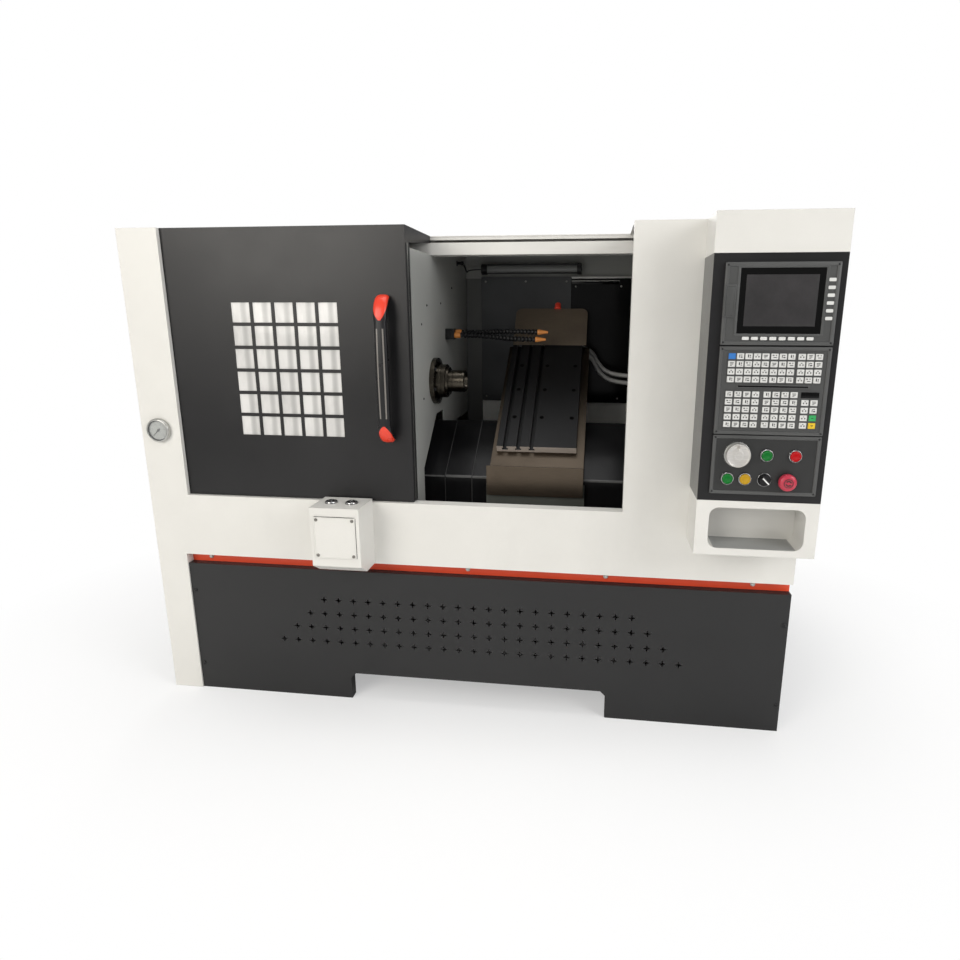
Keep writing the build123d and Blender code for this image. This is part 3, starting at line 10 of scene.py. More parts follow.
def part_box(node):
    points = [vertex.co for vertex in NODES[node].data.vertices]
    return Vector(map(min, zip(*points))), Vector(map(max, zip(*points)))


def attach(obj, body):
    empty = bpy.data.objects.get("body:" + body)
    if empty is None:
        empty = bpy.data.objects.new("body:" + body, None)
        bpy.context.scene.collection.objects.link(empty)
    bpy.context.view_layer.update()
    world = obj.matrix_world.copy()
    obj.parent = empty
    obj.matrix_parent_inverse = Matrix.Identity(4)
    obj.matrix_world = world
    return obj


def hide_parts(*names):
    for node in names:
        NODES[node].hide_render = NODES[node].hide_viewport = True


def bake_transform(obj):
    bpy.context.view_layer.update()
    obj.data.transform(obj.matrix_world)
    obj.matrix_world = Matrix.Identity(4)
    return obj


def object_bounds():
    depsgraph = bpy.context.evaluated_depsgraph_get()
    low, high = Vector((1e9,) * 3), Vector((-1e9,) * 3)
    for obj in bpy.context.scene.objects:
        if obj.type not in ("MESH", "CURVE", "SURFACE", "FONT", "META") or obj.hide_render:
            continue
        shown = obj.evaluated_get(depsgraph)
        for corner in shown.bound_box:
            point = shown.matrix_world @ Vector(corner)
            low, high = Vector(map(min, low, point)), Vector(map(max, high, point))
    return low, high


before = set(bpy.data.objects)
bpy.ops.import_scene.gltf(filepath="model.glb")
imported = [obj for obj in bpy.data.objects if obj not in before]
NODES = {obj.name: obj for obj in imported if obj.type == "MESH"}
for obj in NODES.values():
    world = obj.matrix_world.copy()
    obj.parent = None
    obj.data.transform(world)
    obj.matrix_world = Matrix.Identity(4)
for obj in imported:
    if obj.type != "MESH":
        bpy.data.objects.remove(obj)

bl_info = {
    "name": "Slant bed lathe",
    "version": (1, 0, 0),
    "blender": (4, 5, 0),
    "location": "View3D > Sidebar > Lathe",
    "description": "Finishes, controls, cords and fasteners of an enclosed slant bed lathe",
    "category": "Object",
}

CAD_BOX = [list(corner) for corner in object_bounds()]
MM = 0.001

# Places below are in millimetres: x from the guard's left end, y from its front, z from the floor.
GUARD_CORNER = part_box("front_guard")[0]
LOCAL_MM = Matrix.Scale(MM, 4)
WORLD_MM = Matrix.Translation(GUARD_CORNER) @ LOCAL_MM
FRONT = (0, -1, 0)
BACK = (0, 1, 0)
RIGHT = (1, 0, 0)
UP = (0, 0, 1)

# Slope of the bed, and y and z of the edge where the way covers bend from upright to slope
SLANT = math.radians(37)
BEND = (175, 766)

# x of the work area's end wall and right wall, y and z of the spindle's axis, left end of the work lamp
END_WALL = 905
RIGHT_WALL = 1756
SPINDLE_AXIS = (310, 1075)
LAMP_END = (979, 840, 1484)

# Control panel: left edge and width of its three modules, bottom and height of each, and y of their faces
PANEL_LEFT, PANEL_WIDTH = 1785, 277
SCREEN_UNIT, KEY_UNIT, PLATE_UNIT = (1226, 204), (993, 229), (828, 162)
MODULE_FACE, PLATE_FACE = -156, -154

# Middle of the push-button box's front
BOX_MIDDLE = (691.5, -125, 634)

# Angle in degrees past which an edge stays sharp
SHARP = 35


def spot(x, y, z):
    """Point in metres in the shared frame."""
    return GUARD_CORNER + Vector((x, y, z)) * MM


def facing(origin, outward, across=RIGHT):
    """Frame in millimetres whose Z points outward from a place and whose X runs across."""
    out = Vector(outward).normalized()
    side = Vector(across if abs(out.dot(Vector(across))) < 0.9 else BACK)
    side = (side - out * side.dot(out)).normalized()
    turn = Matrix((side, out.cross(side), out)).transposed().to_4x4()
    return Matrix.Translation(spot(*origin)) @ turn @ LOCAL_MM


def slope_frame(x, u, n):
    """Frame in millimetres on the slope: X right, Y up the slope, Z out of it."""
    y = BEND[0] + u * math.cos(SLANT) - n * math.sin(SLANT)
    z = BEND[1] + u * math.sin(SLANT) + n * math.cos(SLANT)
    return facing((x, y, z), (0, -math.sin(SLANT), math.cos(SLANT)))


class Shape:
    """Gathers the solids of one piece in millimetres and lays them in the shared frame."""

    def __init__(self):
        self.mesh = bmesh.new()

    def faces(self, points, loops, frame_mm, paint=0):
        """Loose faces from points and index loops."""
        corners = [self.mesh.verts.new(frame_mm @ Vector(point)) for point in points]
        made = []
        for loop in loops:
            face = self.mesh.faces.new([corners[i] for i in loop])
            face.material_index = paint
            face.smooth = True
            made.append(face)
        bmesh.ops.recalc_face_normals(self.mesh, faces=made)
        return made

    def block(self, low, high, frame_mm=WORLD_MM, bevel=0.0, paint=0, steps=2):
        """Box between two corners with its edges broken."""
        points = [(x, y, z) for x in (low[0], high[0]) for y in (low[1], high[1]) for z in (low[2], high[2])]
        loops = [(0, 1, 3, 2), (4, 6, 7, 5), (0, 4, 5, 1), (2, 3, 7, 6), (0, 2, 6, 4), (1, 5, 7, 3)]
        made = self.faces(points, loops, frame_mm, paint)
        if bevel:
            edges = {edge for face in made for edge in face.edges}
            done = bmesh.ops.bevel(self.mesh, geom=list(edges), offset=bevel * MM, segments=steps,
                                   affect="EDGES", profile=0.5)
            for face in done["faces"]:
                face.material_index = paint
                face.smooth = True

    def turn(self, profile, frame_mm, steps=48, paint=0, ring=False):
        """Profile of (along, radius) turned about the frame's Z; ring joins its two ends."""
        points, rings = [], []
        for along, radius in profile:
            count = 1 if radius == 0 else steps
            rings.append(list(range(len(points), len(points) + count)))
            for step in range(count):
                angle = 2 * math.pi * step / steps
                points.append((radius * math.cos(angle), radius * math.sin(angle), along))
        loops = []
        pairs = list(zip(rings, rings[1:])) + ([(rings[-1], rings[0])] if ring else [])
        for a, b in pairs:
            for step in range(steps):
                far = (step + 1) % steps
                loop = [a[step % len(a)], a[far % len(a)], b[far % len(b)], b[step % len(b)]]
                loop = [v for i, v in enumerate(loop) if v != loop[i - 1]]
                if len(loop) > 2:
                    loops.append(loop)
        if not ring:
            loops += [end for end in (rings[0], rings[-1]) if len(end) > 1]
        return self.faces(points, loops, frame_mm, paint)

    def slab(self, outline, low, high, frame_mm, paint=0):
        """Flat outline in the frame's X and Y drawn from low to high along its Z."""
        count = len(outline)
        points = [(x, y, low) for x, y in outline] + [(x, y, high) for x, y in outline]
        loops = [tuple(range(count)), tuple(range(count, count * 2))]
        loops += [(i, (i + 1) % count, (i + 1) % count + count, i + count) for i in range(count)]
        return self.faces(points, loops, frame_mm, paint)

    def rim(self, size, radius, section, frame_mm, paint=0, corner_steps=6):
        """Closed (outset, height) section carried round a rounded rectangle."""
        track = rounded(size[0], size[1], radius, corner_steps)
        points = []
        for x, y, nx, ny in track:
            points += [(x + nx * out, y + ny * out, height) for out, height in section]
        count = len(section)
        total = len(points)
        loops = []
        for i in range(len(track)):
            for j in range(count):
                k = (j + 1) % count
                loops.append((i * count + j, i * count + k, ((i + 1) * count + k) % total,
                              ((i + 1) * count + j) % total))
        return self.faces(points, loops, frame_mm, paint)

    def settle(self, name):
        """Mesh of all that was gathered."""
        data = bpy.data.meshes.new(name)
        self.mesh.to_mesh(data)
        self.mesh.free()
        return data

    def piece(self, name, paints, body, slot, replaced=(), sharp=SHARP):
        """Plain mesh object at the origin that rides on a body."""
        return mount(name, self.settle(name), paints, body, replaced, sharp)


def rounded(width, height, radius, steps=6):
    """Points and outward directions round a rounded rectangle about the origin."""
    track = []
    for turn, (sx, sy) in enumerate(((1, 1), (-1, 1), (-1, -1), (1, -1))):
        for step in range(steps + 1):
            angle = math.pi / 2 * (turn + step / steps)
            nx, ny = math.cos(angle), math.sin(angle)
            track.append((sx * (width / 2 - radius) + radius * nx, sy * (height / 2 - radius) + radius * ny, nx, ny))
    return track


def linked(name, data):
    """Object of some data, in the scene."""
    made = bpy.data.objects.new(name, data)
    bpy.context.collection.objects.link(made)
    return made


def settled_mesh(thing):
    """Mesh of an object as its modifiers or its curve leave it."""
    bpy.context.view_layer.update()
    return bpy.data.meshes.new_from_object(thing.evaluated_get(bpy.context.evaluated_depsgraph_get()))


def mount(name, data, paints, body, replaced=(), sharp=SHARP):
    """Object of a finished mesh, with its finishes, on its body."""
    if not len(data.polygons):
        raise RuntimeError(f"{name} came out empty")
    for paint in paints[len(data.materials):]:
        data.materials.append(finish(paint))
    data.set_sharp_from_angle(angle=math.radians(sharp))
    piece = linked(name, data)
    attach(piece, body)
    if replaced:
        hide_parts(*replaced)
    return piece


# Node trees of the finishes


class Wiring:
    """Shorthand for laying nodes in a tree."""

    def __init__(self, tree):
        self.tree = tree
        self.coords = None

    def node(self, kind, settings=None, **inputs):
        """New node; inputs are given by their names, with _ for a space."""
        made = self.tree.nodes.new(kind)
        for key, value in (settings or {}).items():
            setattr(made, key, value)
        self.fill(made, {key.replace("_", " "): value for key, value in inputs.items()})
        return made

    def fill(self, node, values):
        """Links or sets inputs of a node by name or number; a colour may leave out its alpha."""
        for key, value in values.items():
            socket = node.inputs[key]
            if isinstance(value, bpy.types.NodeSocket):
                self.tree.links.new(value, socket)
            elif socket.type == "RGBA" and len(value) == 3:
                socket.default_value = (*value, 1)
            else:
                socket.default_value = value

    def place(self, stretch=(1, 1, 1)):
        """Object coordinates, stretched."""
        if self.coords is None:
            self.coords = self.node("ShaderNodeTexCoord").outputs["Object"]
        if stretch == (1, 1, 1):
            return self.coords
        return self.node("ShaderNodeMapping", Vector=self.coords, Scale=stretch).outputs["Vector"]

    def noise(self, scale, detail=3.0, rough=0.5, stretch=(1, 1, 1)):
        return self.node("ShaderNodeTexNoise", Vector=self.place(stretch), Scale=scale, Detail=detail,
                         Roughness=rough).outputs["Fac"]

    def span(self, value, low, high, to_low=0.0, to_high=1.0):
        """Value from one range mapped to another, clamped."""
        return self.node("ShaderNodeMapRange", Value=value, From_Min=low, From_Max=high, To_Min=to_low,
                         To_Max=to_high).outputs["Result"]

    def blend(self, share, first, second):
        """Mix of two colours. A mix node's colours are its inputs 6 and 7, and its output 2."""
        made = self.node("ShaderNodeMix", {"data_type": "RGBA"}, Factor=share)
        self.fill(made, {6: first, 7: second})
        return made.outputs[2]

    def math(self, operation, first, second=0.0):
        made = self.node("ShaderNodeMath", {"operation": operation})
        self.fill(made, {0: first, 1: second})
        return made.outputs[0]

    def relief(self, strength, distance, height, edge):
        """Normal with fine relief and softened edges."""
        soft = self.node("ShaderNodeBevel", {"samples": 4}, Radius=edge).outputs["Normal"]
        return self.node("ShaderNodeBump", Strength=strength, Distance=distance, Height=height,
                         Normal=soft).outputs["Normal"]

    def within(self, limits):
        """1 where every named axis lies between its limits, in metres of the shared frame."""
        split = self.node("ShaderNodeSeparateXYZ", Vector=self.place())
        share = 1.0
        for letter, (low, high) in limits.items():
            share = self.math("MULTIPLY", self.math("GREATER_THAN", split.outputs[letter], low), share)
            share = self.math("MULTIPLY", self.math("LESS_THAN", split.outputs[letter], high), share)
        return share


# Depth in metres of a coat's grain and of a brushed metal's lines
GRAIN_DEPTH = 0.0006
BRUSH_DEPTH = 0.0002


def shade(colour, share):
    """Colour lightened or darkened by a share."""
    return tuple(min(1.0, part * share) for part in colour[:3])


def start_finish(name):
    """New material with its wiring and its surface shader."""
    made = bpy.data.materials.new(name)
    made.use_nodes = True
    wiring = Wiring(made.node_tree)
    return made, wiring, made.node_tree.nodes["Principled BSDF"]


def coat(name, colour, rough, metal=0.0, mottle=0.05, mottle_scale=5.0, grain=0.12, grain_scale=900.0,
         edge=0.0012, dirt=None, stretch=(1, 1, 1), rough_spread=0.08, zones=(), coat_weight=0.0, shine=0.5):
    """Paint, plastic or metal with mottled colour, uneven gloss, fine relief and softened edges.

    dirt is a colour that gathers in broad smears; zones are (axis limits, colour) for parts coloured otherwise, some of
    them painted light and shade."""
    made, wiring, surface = start_finish(name)
    broad = wiring.noise(mottle_scale, 5.0, 0.6, stretch)
    base = wiring.blend(wiring.span(broad, 0.3, 0.7), shade(colour, 1 - mottle), shade(colour, 1 + mottle))
    fine = wiring.noise(grain_scale, 2.0, 0.5, stretch)
    base = wiring.blend(wiring.span(fine, 0.35, 0.75, 0.0, 0.35), base, shade(colour, 1 - mottle * 2))
    if dirt:
        smear = wiring.noise(2.3, 8.0, 0.68, (1, 1, 0.45))
        base = wiring.blend(wiring.span(smear, 0.56, 0.8, 0.0, 0.55), base, dirt)
    for limits, paint in zones:
        base = wiring.blend(wiring.within(limits), base, paint)
    uneven = wiring.span(broad, 0.25, 0.75, max(0.03, rough - rough_spread), min(1.0, rough + rough_spread))
    wiring.fill(surface, {"Base Color": base, "Roughness": uneven, "Metallic": metal, "Coat Weight": coat_weight,
                          "Specular IOR Level": shine, "Normal": wiring.relief(grain, GRAIN_DEPTH, fine, edge)})
    return made


def brushed(name, colour, rough, along, fine=0.25, metal=1.0, edge=0.001, stain=None):
    """Metal with brush or grinding lines along one axis."""
    stretch = tuple(1.5 if letter == along else 55.0 for letter in "xyz")
    made, wiring, surface = start_finish(name)
    lines = wiring.noise(14.0, 6.0, 0.75, stretch)
    cloud = wiring.noise(7.0, 4.0, 0.6)
    base = wiring.blend(wiring.span(lines, 0.3, 0.7), shade(colour, 0.82), shade(colour, 1.14))
    if stain:
        base = wiring.blend(wiring.span(cloud, 0.52, 0.75, 0.0, 0.6), base, stain)
    gloss = wiring.math("ADD", wiring.span(lines, 0.2, 0.8, rough - 0.07, rough + 0.09),
                        wiring.span(cloud, 0.3, 0.8, -0.03, 0.06))
    wiring.fill(surface, {"Base Color": base, "Roughness": gloss, "Metallic": metal,
                          "Normal": wiring.relief(fine, BRUSH_DEPTH, lines, edge)})
    return made


def clear(name, colour, alpha, dim=0.9, rough=0.04, bars=None):
    """Clear sheet with faint smudges; it lets light through. bars is the place of the first painted shadow of the
    window's upright bars on the sheet, and their pitch."""
    made, wiring, surface = start_finish(name)
    smudge = wiring.noise(9.0, 6.0, 0.65, (1, 1, 0.35))
    base = wiring.blend(wiring.span(smudge, 0.42, 0.7), colour, shade(colour, dim))
    if bars:
        # Darker bands at the bars' pitch: painted shadows of the window's upright bars on the sheet
        across = wiring.node("ShaderNodeSeparateXYZ", Vector=wiring.place()).outputs["X"]
        turn = wiring.math("MULTIPLY", wiring.math("SUBTRACT", across, bars[0]), 2 * math.pi / bars[1])
        bar_shadow = wiring.span(wiring.math("COSINE", turn), 0.5, 1.0, 0.0, 0.6)
        base = wiring.blend(bar_shadow, base, shade(colour, 0.45))
    wiring.fill(surface, {"Base Color": base, "Roughness": wiring.span(smudge, 0.4, 0.8, rough, rough + 0.12),
                          "Alpha": alpha})
    return made


FINISHES = {}


def finish(name):
    """Finish made by the finishes operator."""
    if name not in FINISHES:
        raise RuntimeError(f"no finish is called {name}")
    return FINISHES[name]


# Geometry trees


class Grower:
    """Geometry tree with named inputs, the last of them the finish of what it makes."""

    def __init__(self, name, **inputs):
        self.tree = bpy.data.node_groups.new(name, "GeometryNodeTree")
        self.tree.interface.new_socket("Geometry", in_out="INPUT", socket_type="NodeSocketGeometry")
        self.keys = {}
        for label, kind in {**inputs, "Finish": "Material"}.items():
            label = label.replace("_", " ")
            made = self.tree.interface.new_socket(label, in_out="INPUT", socket_type="NodeSocket" + kind)
            self.keys[label] = made.identifier
        self.tree.interface.new_socket("Geometry", in_out="OUTPUT", socket_type="NodeSocketGeometry")
        self.given = self.tree.nodes.new("NodeGroupInput").outputs
        self.wiring = Wiring(self.tree)

    def repeat(self, points, rotation):
        """The part of the inputs, set on points."""
        part = self.wiring.node("GeometryNodeObjectInfo", Object=self.given["Part"])
        put = self.wiring.node("GeometryNodeInstanceOnPoints", Points=points, Instance=part.outputs["Geometry"],
                               Rotation=rotation.outputs["Rotation"])
        return self.close(put.outputs["Instances"])

    def close(self, made):
        """Hands out what was made, painted."""
        real = self.wiring.node("GeometryNodeRealizeInstances", Geometry=made)
        paint = self.wiring.node("GeometryNodeSetMaterial", Geometry=real.outputs["Geometry"],
                                 Material=self.given["Finish"])
        self.wiring.fill(self.tree.nodes.new("NodeGroupOutput"), {"Geometry": paint.outputs["Geometry"]})
        return self


@functools.cache
def seats_tree():
    """Sets one part on every point, with its Z along the point's outward attribute."""
    tree = Grower("Seats", Part="Object")
    outward, upward = (tree.wiring.node("GeometryNodeInputNamedAttribute", {"data_type": "FLOAT_VECTOR"}, Name=label)
                       for label in ("outward", "upward"))
    turn = tree.wiring.node("FunctionNodeAlignRotationToVector", {"axis": "Z"}, Vector=outward.outputs["Attribute"])
    turn = tree.wiring.node("FunctionNodeAlignRotationToVector", {"axis": "Y", "pivot_axis": "Z"},
                            Rotation=turn.outputs["Rotation"], Vector=upward.outputs["Attribute"])
    return tree.repeat(tree.given["Geometry"], turn)


@functools.cache
def beads_tree():
    """Threads one part on a curve at an even pitch, with its Z along the curve."""
    tree = Grower("Beads", Part="Object", Pitch="Float")
    spaced = tree.wiring.node("GeometryNodeResampleCurve", {"mode": "LENGTH"}, Curve=tree.given["Geometry"],
                              Length=tree.given["Pitch"])
    tangent = tree.wiring.node("GeometryNodeInputTangent")
    turn = tree.wiring.node("FunctionNodeAlignRotationToVector", {"axis": "Z"}, Vector=tangent.outputs["Tangent"])
    return tree.repeat(spaced.outputs["Curve"], turn)


@functools.cache
def ribbed_tree():
    """Tube round a curve whose radius swells and shrinks by turns, as a ribbed conduit's does."""
    tree = Grower("Ribbed tube", Radius="Float", Rib_depth="Float", Rib_pitch="Float", Sides="Int")
    wiring, given = tree.wiring, tree.given
    spaced = wiring.node("GeometryNodeResampleCurve", {"mode": "LENGTH"}, Curve=given["Geometry"],
                         Length=wiring.math("MULTIPLY", given["Rib pitch"], 0.5))
    odd = wiring.math("MODULO", wiring.node("GeometryNodeInputIndex").outputs["Index"], 2.0)
    radius = wiring.math("SUBTRACT", given["Radius"], wiring.math("MULTIPLY", odd, given["Rib depth"]))
    ring = wiring.node("GeometryNodeCurvePrimitiveCircle", Resolution=given["Sides"], Radius=1.0)
    tube = wiring.node("GeometryNodeCurveToMesh", Curve=spaced.outputs["Curve"], Profile_Curve=ring.outputs["Curve"],
                       Scale=radius, Fill_Caps=True)
    return tree.close(tube.outputs["Mesh"])


def grown(source, grower, values):
    """Mesh that a geometry tree gives on an object, which is removed."""
    modifier = source.modifiers.new("Grown", "NODES")
    modifier.node_group = grower.tree
    for label, value in values.items():
        modifier[grower.keys[label]] = value
    data = settled_mesh(source)
    bpy.data.objects.remove(source, do_unlink=True)
    data.polygons.foreach_set("use_smooth", [True] * len(data.polygons))
    return data


def stock(shape, name):
    """Object of a part that trees repeat; the caller removes it."""
    data = shape.settle(name)
    data.set_sharp_from_angle(angle=math.radians(SHARP))
    return linked(name, data)


def seat(name, part, places, paint, body):
    """Sets a part on (point, outward) places and makes one piece of them."""
    data = bpy.data.meshes.new(name + "_places")
    data.from_pydata([spot(*point) for point, _ in places], [], [])
    for label, vectors in (("outward", [out for _, out in places]), ("upward", [UP] * len(places))):
        field = data.attributes.new(label, "FLOAT_VECTOR", "POINT")
        field.data.foreach_set("vector", [number for vector in vectors for number in vector])
    mesh = grown(linked(name + "_places", data), seats_tree(), {"Part": part, "Finish": finish(paint)})
    bpy.data.objects.remove(part, do_unlink=True)
    mount(name, mesh, [paint], body)


def cap_screw(head, height):
    """Socket head cap screw seen from its head, in the stock's own frame."""
    shape = Shape()
    key = head * 0.5
    shape.turn([(0, head), (height * 0.85, head), (height, head * 0.88), (height, key), (height * 0.45, key * 0.9),
                (height * 0.45, 0)], LOCAL_MM, steps=18)
    return stock(shape, "cap_screw_stock")


def button_screw(head, height):
    """Domed screw with a cross recess."""
    shape = Shape()
    shape.turn([(0, head), (height * 0.35, head), (height * 0.75, head * 0.8), (height, head * 0.45), (height, 0)],
               LOCAL_MM, steps=16)
    for size in ((head * 0.6, head * 0.12), (head * 0.12, head * 0.6)):
        shape.block((-size[0], -size[1], height * 0.9), (size[0], size[1], height * 1.04), LOCAL_MM)
    return stock(shape, "button_screw_stock")


def hex_bolt(head, height):
    """Hexagon head with a washer under it."""
    shape = Shape()
    shape.turn([(0, head * 1.25), (height * 0.2, head * 1.25), (height * 0.2, 0)], LOCAL_MM, steps=20)
    shape.turn([(height * 0.2, head), (height * 0.9, head), (height, head * 0.86), (height, 0)], LOCAL_MM, steps=6)
    return stock(shape, "hex_bolt_stock")


# Sizes and colours that a user would change


def colour(label, words, value):
    return FloatVectorProperty(name=label, description=words, default=value, size=3, min=0, max=1, subtype="COLOR")


def length(label, words, value):
    return FloatProperty(name=label, description=words, default=value, min=0, unit="LENGTH")


class LatheColours(bpy.types.PropertyGroup):
    """Colours of the lathe's finishes"""
    cream: colour("Cream", "Paint of guard, cabinet and button box", (0.72, 0.708, 0.67))
    # Lining: the work area walls' pale paint darkened as painted shade
    lining: colour("Lining", "Paint of the work area's walls, dulled by oil mist", (0.33, 0.334, 0.318))
    charcoal: colour("Charcoal", "Wrinkle paint of door and control housing", (0.0115, 0.0112, 0.012))
    base_grey: colour("Base grey", "Satin paint of the base", (0.023, 0.023, 0.0235))
    stripe: colour("Stripe", "Orange-red trim under the guard", (0.78, 0.075, 0.025))
    enamel: colour("Enamel", "Gloss black of covers and shields", (0.007, 0.007, 0.0075))
    shield: colour("Shield", "Slate of the left rear shield", (0.1, 0.103, 0.108))
    panel: colour("Panel", "Moulded modules of the control", (0.058, 0.059, 0.058))
    key: colour("Key", "Key caps", (0.66, 0.66, 0.64))
    stainless: colour("Stainless", "Brushed sheet of apron and hood", (0.125, 0.1, 0.076))
    steel: colour("Steel", "Ground steel", (0.52, 0.52, 0.52))
    oxide: colour("Oxide", "Blackened tool steel", (0.028, 0.028, 0.03))
    orange: colour("Orange", "Moulded orange plastic", (0.76, 0.05, 0.022))
    amber: colour("Amber", "Coolant nozzles and nuts", (0.72, 0.27, 0.06))


class LatheSizes(bpy.types.PropertyGroup):
    """Sizes of the lathe's dressing"""
    conduit_diameter: length("Conduit diameter", "Outside of the saddle's conduits", 0.018)
    rib_pitch: length("Rib pitch", "Distance between conduit ribs", 0.0055)
    rib_depth: length("Rib depth", "Depth of a conduit rib", 0.0013)
    lead_diameter: length("Lead diameter", "Outside of the lamp's lead", 0.006)
    key_width: length("Key width", "Width of a keypad key", 0.0178)
    key_height: length("Key height", "Height of a keypad key", 0.0152)
    hose_pitch: length("Hose pitch", "Length of one hose segment", 0.013)
    turn_steps: IntProperty(name="Turn steps", description="Flats round a turned piece", default=64, min=12, max=128)
    lens: FloatProperty(name="Lens", description="Focal length of the camera in millimetres", default=23.996)


# Stage


class LATHE_OT_stage(bpy.types.Operator):
    """Camera at the maker's viewpoint, soft lamps, pale floor and white surroundings"""
    bl_idname = "lathe.stage"
    bl_label = "Stage"

    # Camera: place in metres, then yaw to the left, pitch down and roll in degrees, and the picture's shift
    eye_place = (0.4383, -2.4735, 1.2977)
    eye_turn = (7.23, 13.42, 0.16)
    eye_shift = (-0.0392, -0.0121)

    # Each lamp: place, aim, size in metres, power in watts, and how blue it is
    lamps = {"front_lamp": ((-2.1, -4.0, 2.35), (0, 0, 0.8), 2.6, 86, 0.9),
             "side_lamp": ((3.6, -2.6, 2.6), (0.2, 0, 0.8), 2.4, 72, 1.0),
             "top_lamp": ((0.3, -0.2, 4.2), (0.2, 0, 0.9), 2.6, 60, 1.0),
             "rear_lamp": ((-1.2, 4.0, 3.0), (0, 0.4, 0.8), 3.0, 70, 1.0)}

    # Light of the surroundings, and how much less of it is mirrored
    soft_light, mirrored_less = 0.42, 0.1

    # Half the floor's width, its drop under the machine, and the distances over which it fades to white
    floor_half, floor_drop, floor_fade = 9, 0.001, (0.75, 1.6)

    def execute(self, context):
        scene = context.scene
        self.camera(scene)
        for name, (place, aim, size, power, blue) in self.lamps.items():
            lamp = bpy.data.lights.new(name, "AREA")
            lamp.shape = "DISK"
            lamp.size = size
            lamp.energy = power
            lamp.color = (1.0, 0.65 + 0.35 * blue, blue)
            holder = bpy.data.objects.new(name, lamp)
            holder.location = place
            holder.rotation_euler = (Vector(aim) - Vector(place)).to_track_quat("-Z", "Y").to_euler()
            scene.collection.objects.link(holder)
        self.surroundings(scene)
        self.floor()
        scene.view_settings.view_transform = "Standard"
        return {"FINISHED"}

    def camera(self, scene):
        """Camera at the viewpoint."""
        data = bpy.data.cameras.new("viewpoint")
        data.lens = scene.lathe_sizes.lens
        data.sensor_width = 36
        data.shift_x, data.shift_y = self.eye_shift
        data.clip_end = 60
        eye = bpy.data.objects.new("viewpoint", data)
        yaw, pitch, roll = (math.radians(angle) for angle in self.eye_turn)
        ahead = Vector((-math.sin(yaw) * math.cos(pitch), math.cos(yaw) * math.cos(pitch), -math.sin(pitch)))
        side = ahead.cross(Vector(UP)).normalized()
        above = side.cross(ahead)
        right = side * math.cos(roll) + above * math.sin(roll)
        top = above * math.cos(roll) - side * math.sin(roll)
        turn = Matrix((right, top, -ahead)).transposed().to_4x4()
        eye.matrix_world = Matrix.Translation(self.eye_place) @ turn
        scene.collection.objects.link(eye)
        scene.camera = eye

    def surroundings(self, scene):
        """White where seen or looked through; plain soft light elsewhere."""
        world = bpy.data.worlds.new("surroundings")
        world.use_nodes = True
        scene.world = world
        wiring = Wiring(world.node_tree)
        path = wiring.node("ShaderNodeLightPath").outputs
        seen = wiring.math("MAXIMUM", path["Is Camera Ray"], path["Is Transmission Ray"])
        soft = wiring.math("ADD", wiring.math("MULTIPLY", path["Is Glossy Ray"], -self.mirrored_less), self.soft_light)
        wiring.fill(world.node_tree.nodes["Background"],
                    {"Color": (1, 1, 1), "Strength": wiring.math("MAXIMUM", seen, soft)})

    def floor(self):
        """Pale floor that fades into the white surroundings, but not under the machine."""
        half, low = self.floor_half, -self.floor_drop
        shape = Shape()
        shape.faces([(-half, -half, low), (half, -half, low), (half, half, low), (-half, half, low)], [(0, 1, 2, 3)],
                    Matrix.Identity(4))
        data = shape.settle("floor")
        made, wiring, surface = start_finish("pale_floor")
        wiring.fill(surface, {"Base Color": (0.93, 0.93, 0.93), "Roughness": 0.9, "Specular IOR Level": 0.0})
        reach = wiring.node("ShaderNodeVectorMath", {"operation": "LENGTH"})
        wiring.fill(reach, {0: wiring.place((0.72, 1.0, 1))})
        far = wiring.span(reach.outputs["Value"], *self.floor_fade, 0.4, 1.0)
        under = wiring.within({"X": (CAD_BOX[0][0] + 0.01, CAD_BOX[1][0] - 0.01), "Y": (-0.41, CAD_BOX[1][1] - 0.05)})
        fade = wiring.math("MULTIPLY", far, wiring.math("SUBTRACT", 1.0, under))
        fade = wiring.math("MULTIPLY", fade, wiring.node("ShaderNodeLightPath").outputs["Is Camera Ray"])
        mixed = wiring.node("ShaderNodeMixShader", Fac=fade)
        glow = wiring.node("ShaderNodeEmission")
        wiring.fill(mixed, {1: surface.outputs["BSDF"], 2: glow.outputs["Emission"]})
        wiring.fill(made.node_tree.nodes["Material Output"], {"Surface": mixed.outputs["Shader"]})
        data.materials.append(made)
        linked("floor", data)


# Finishes


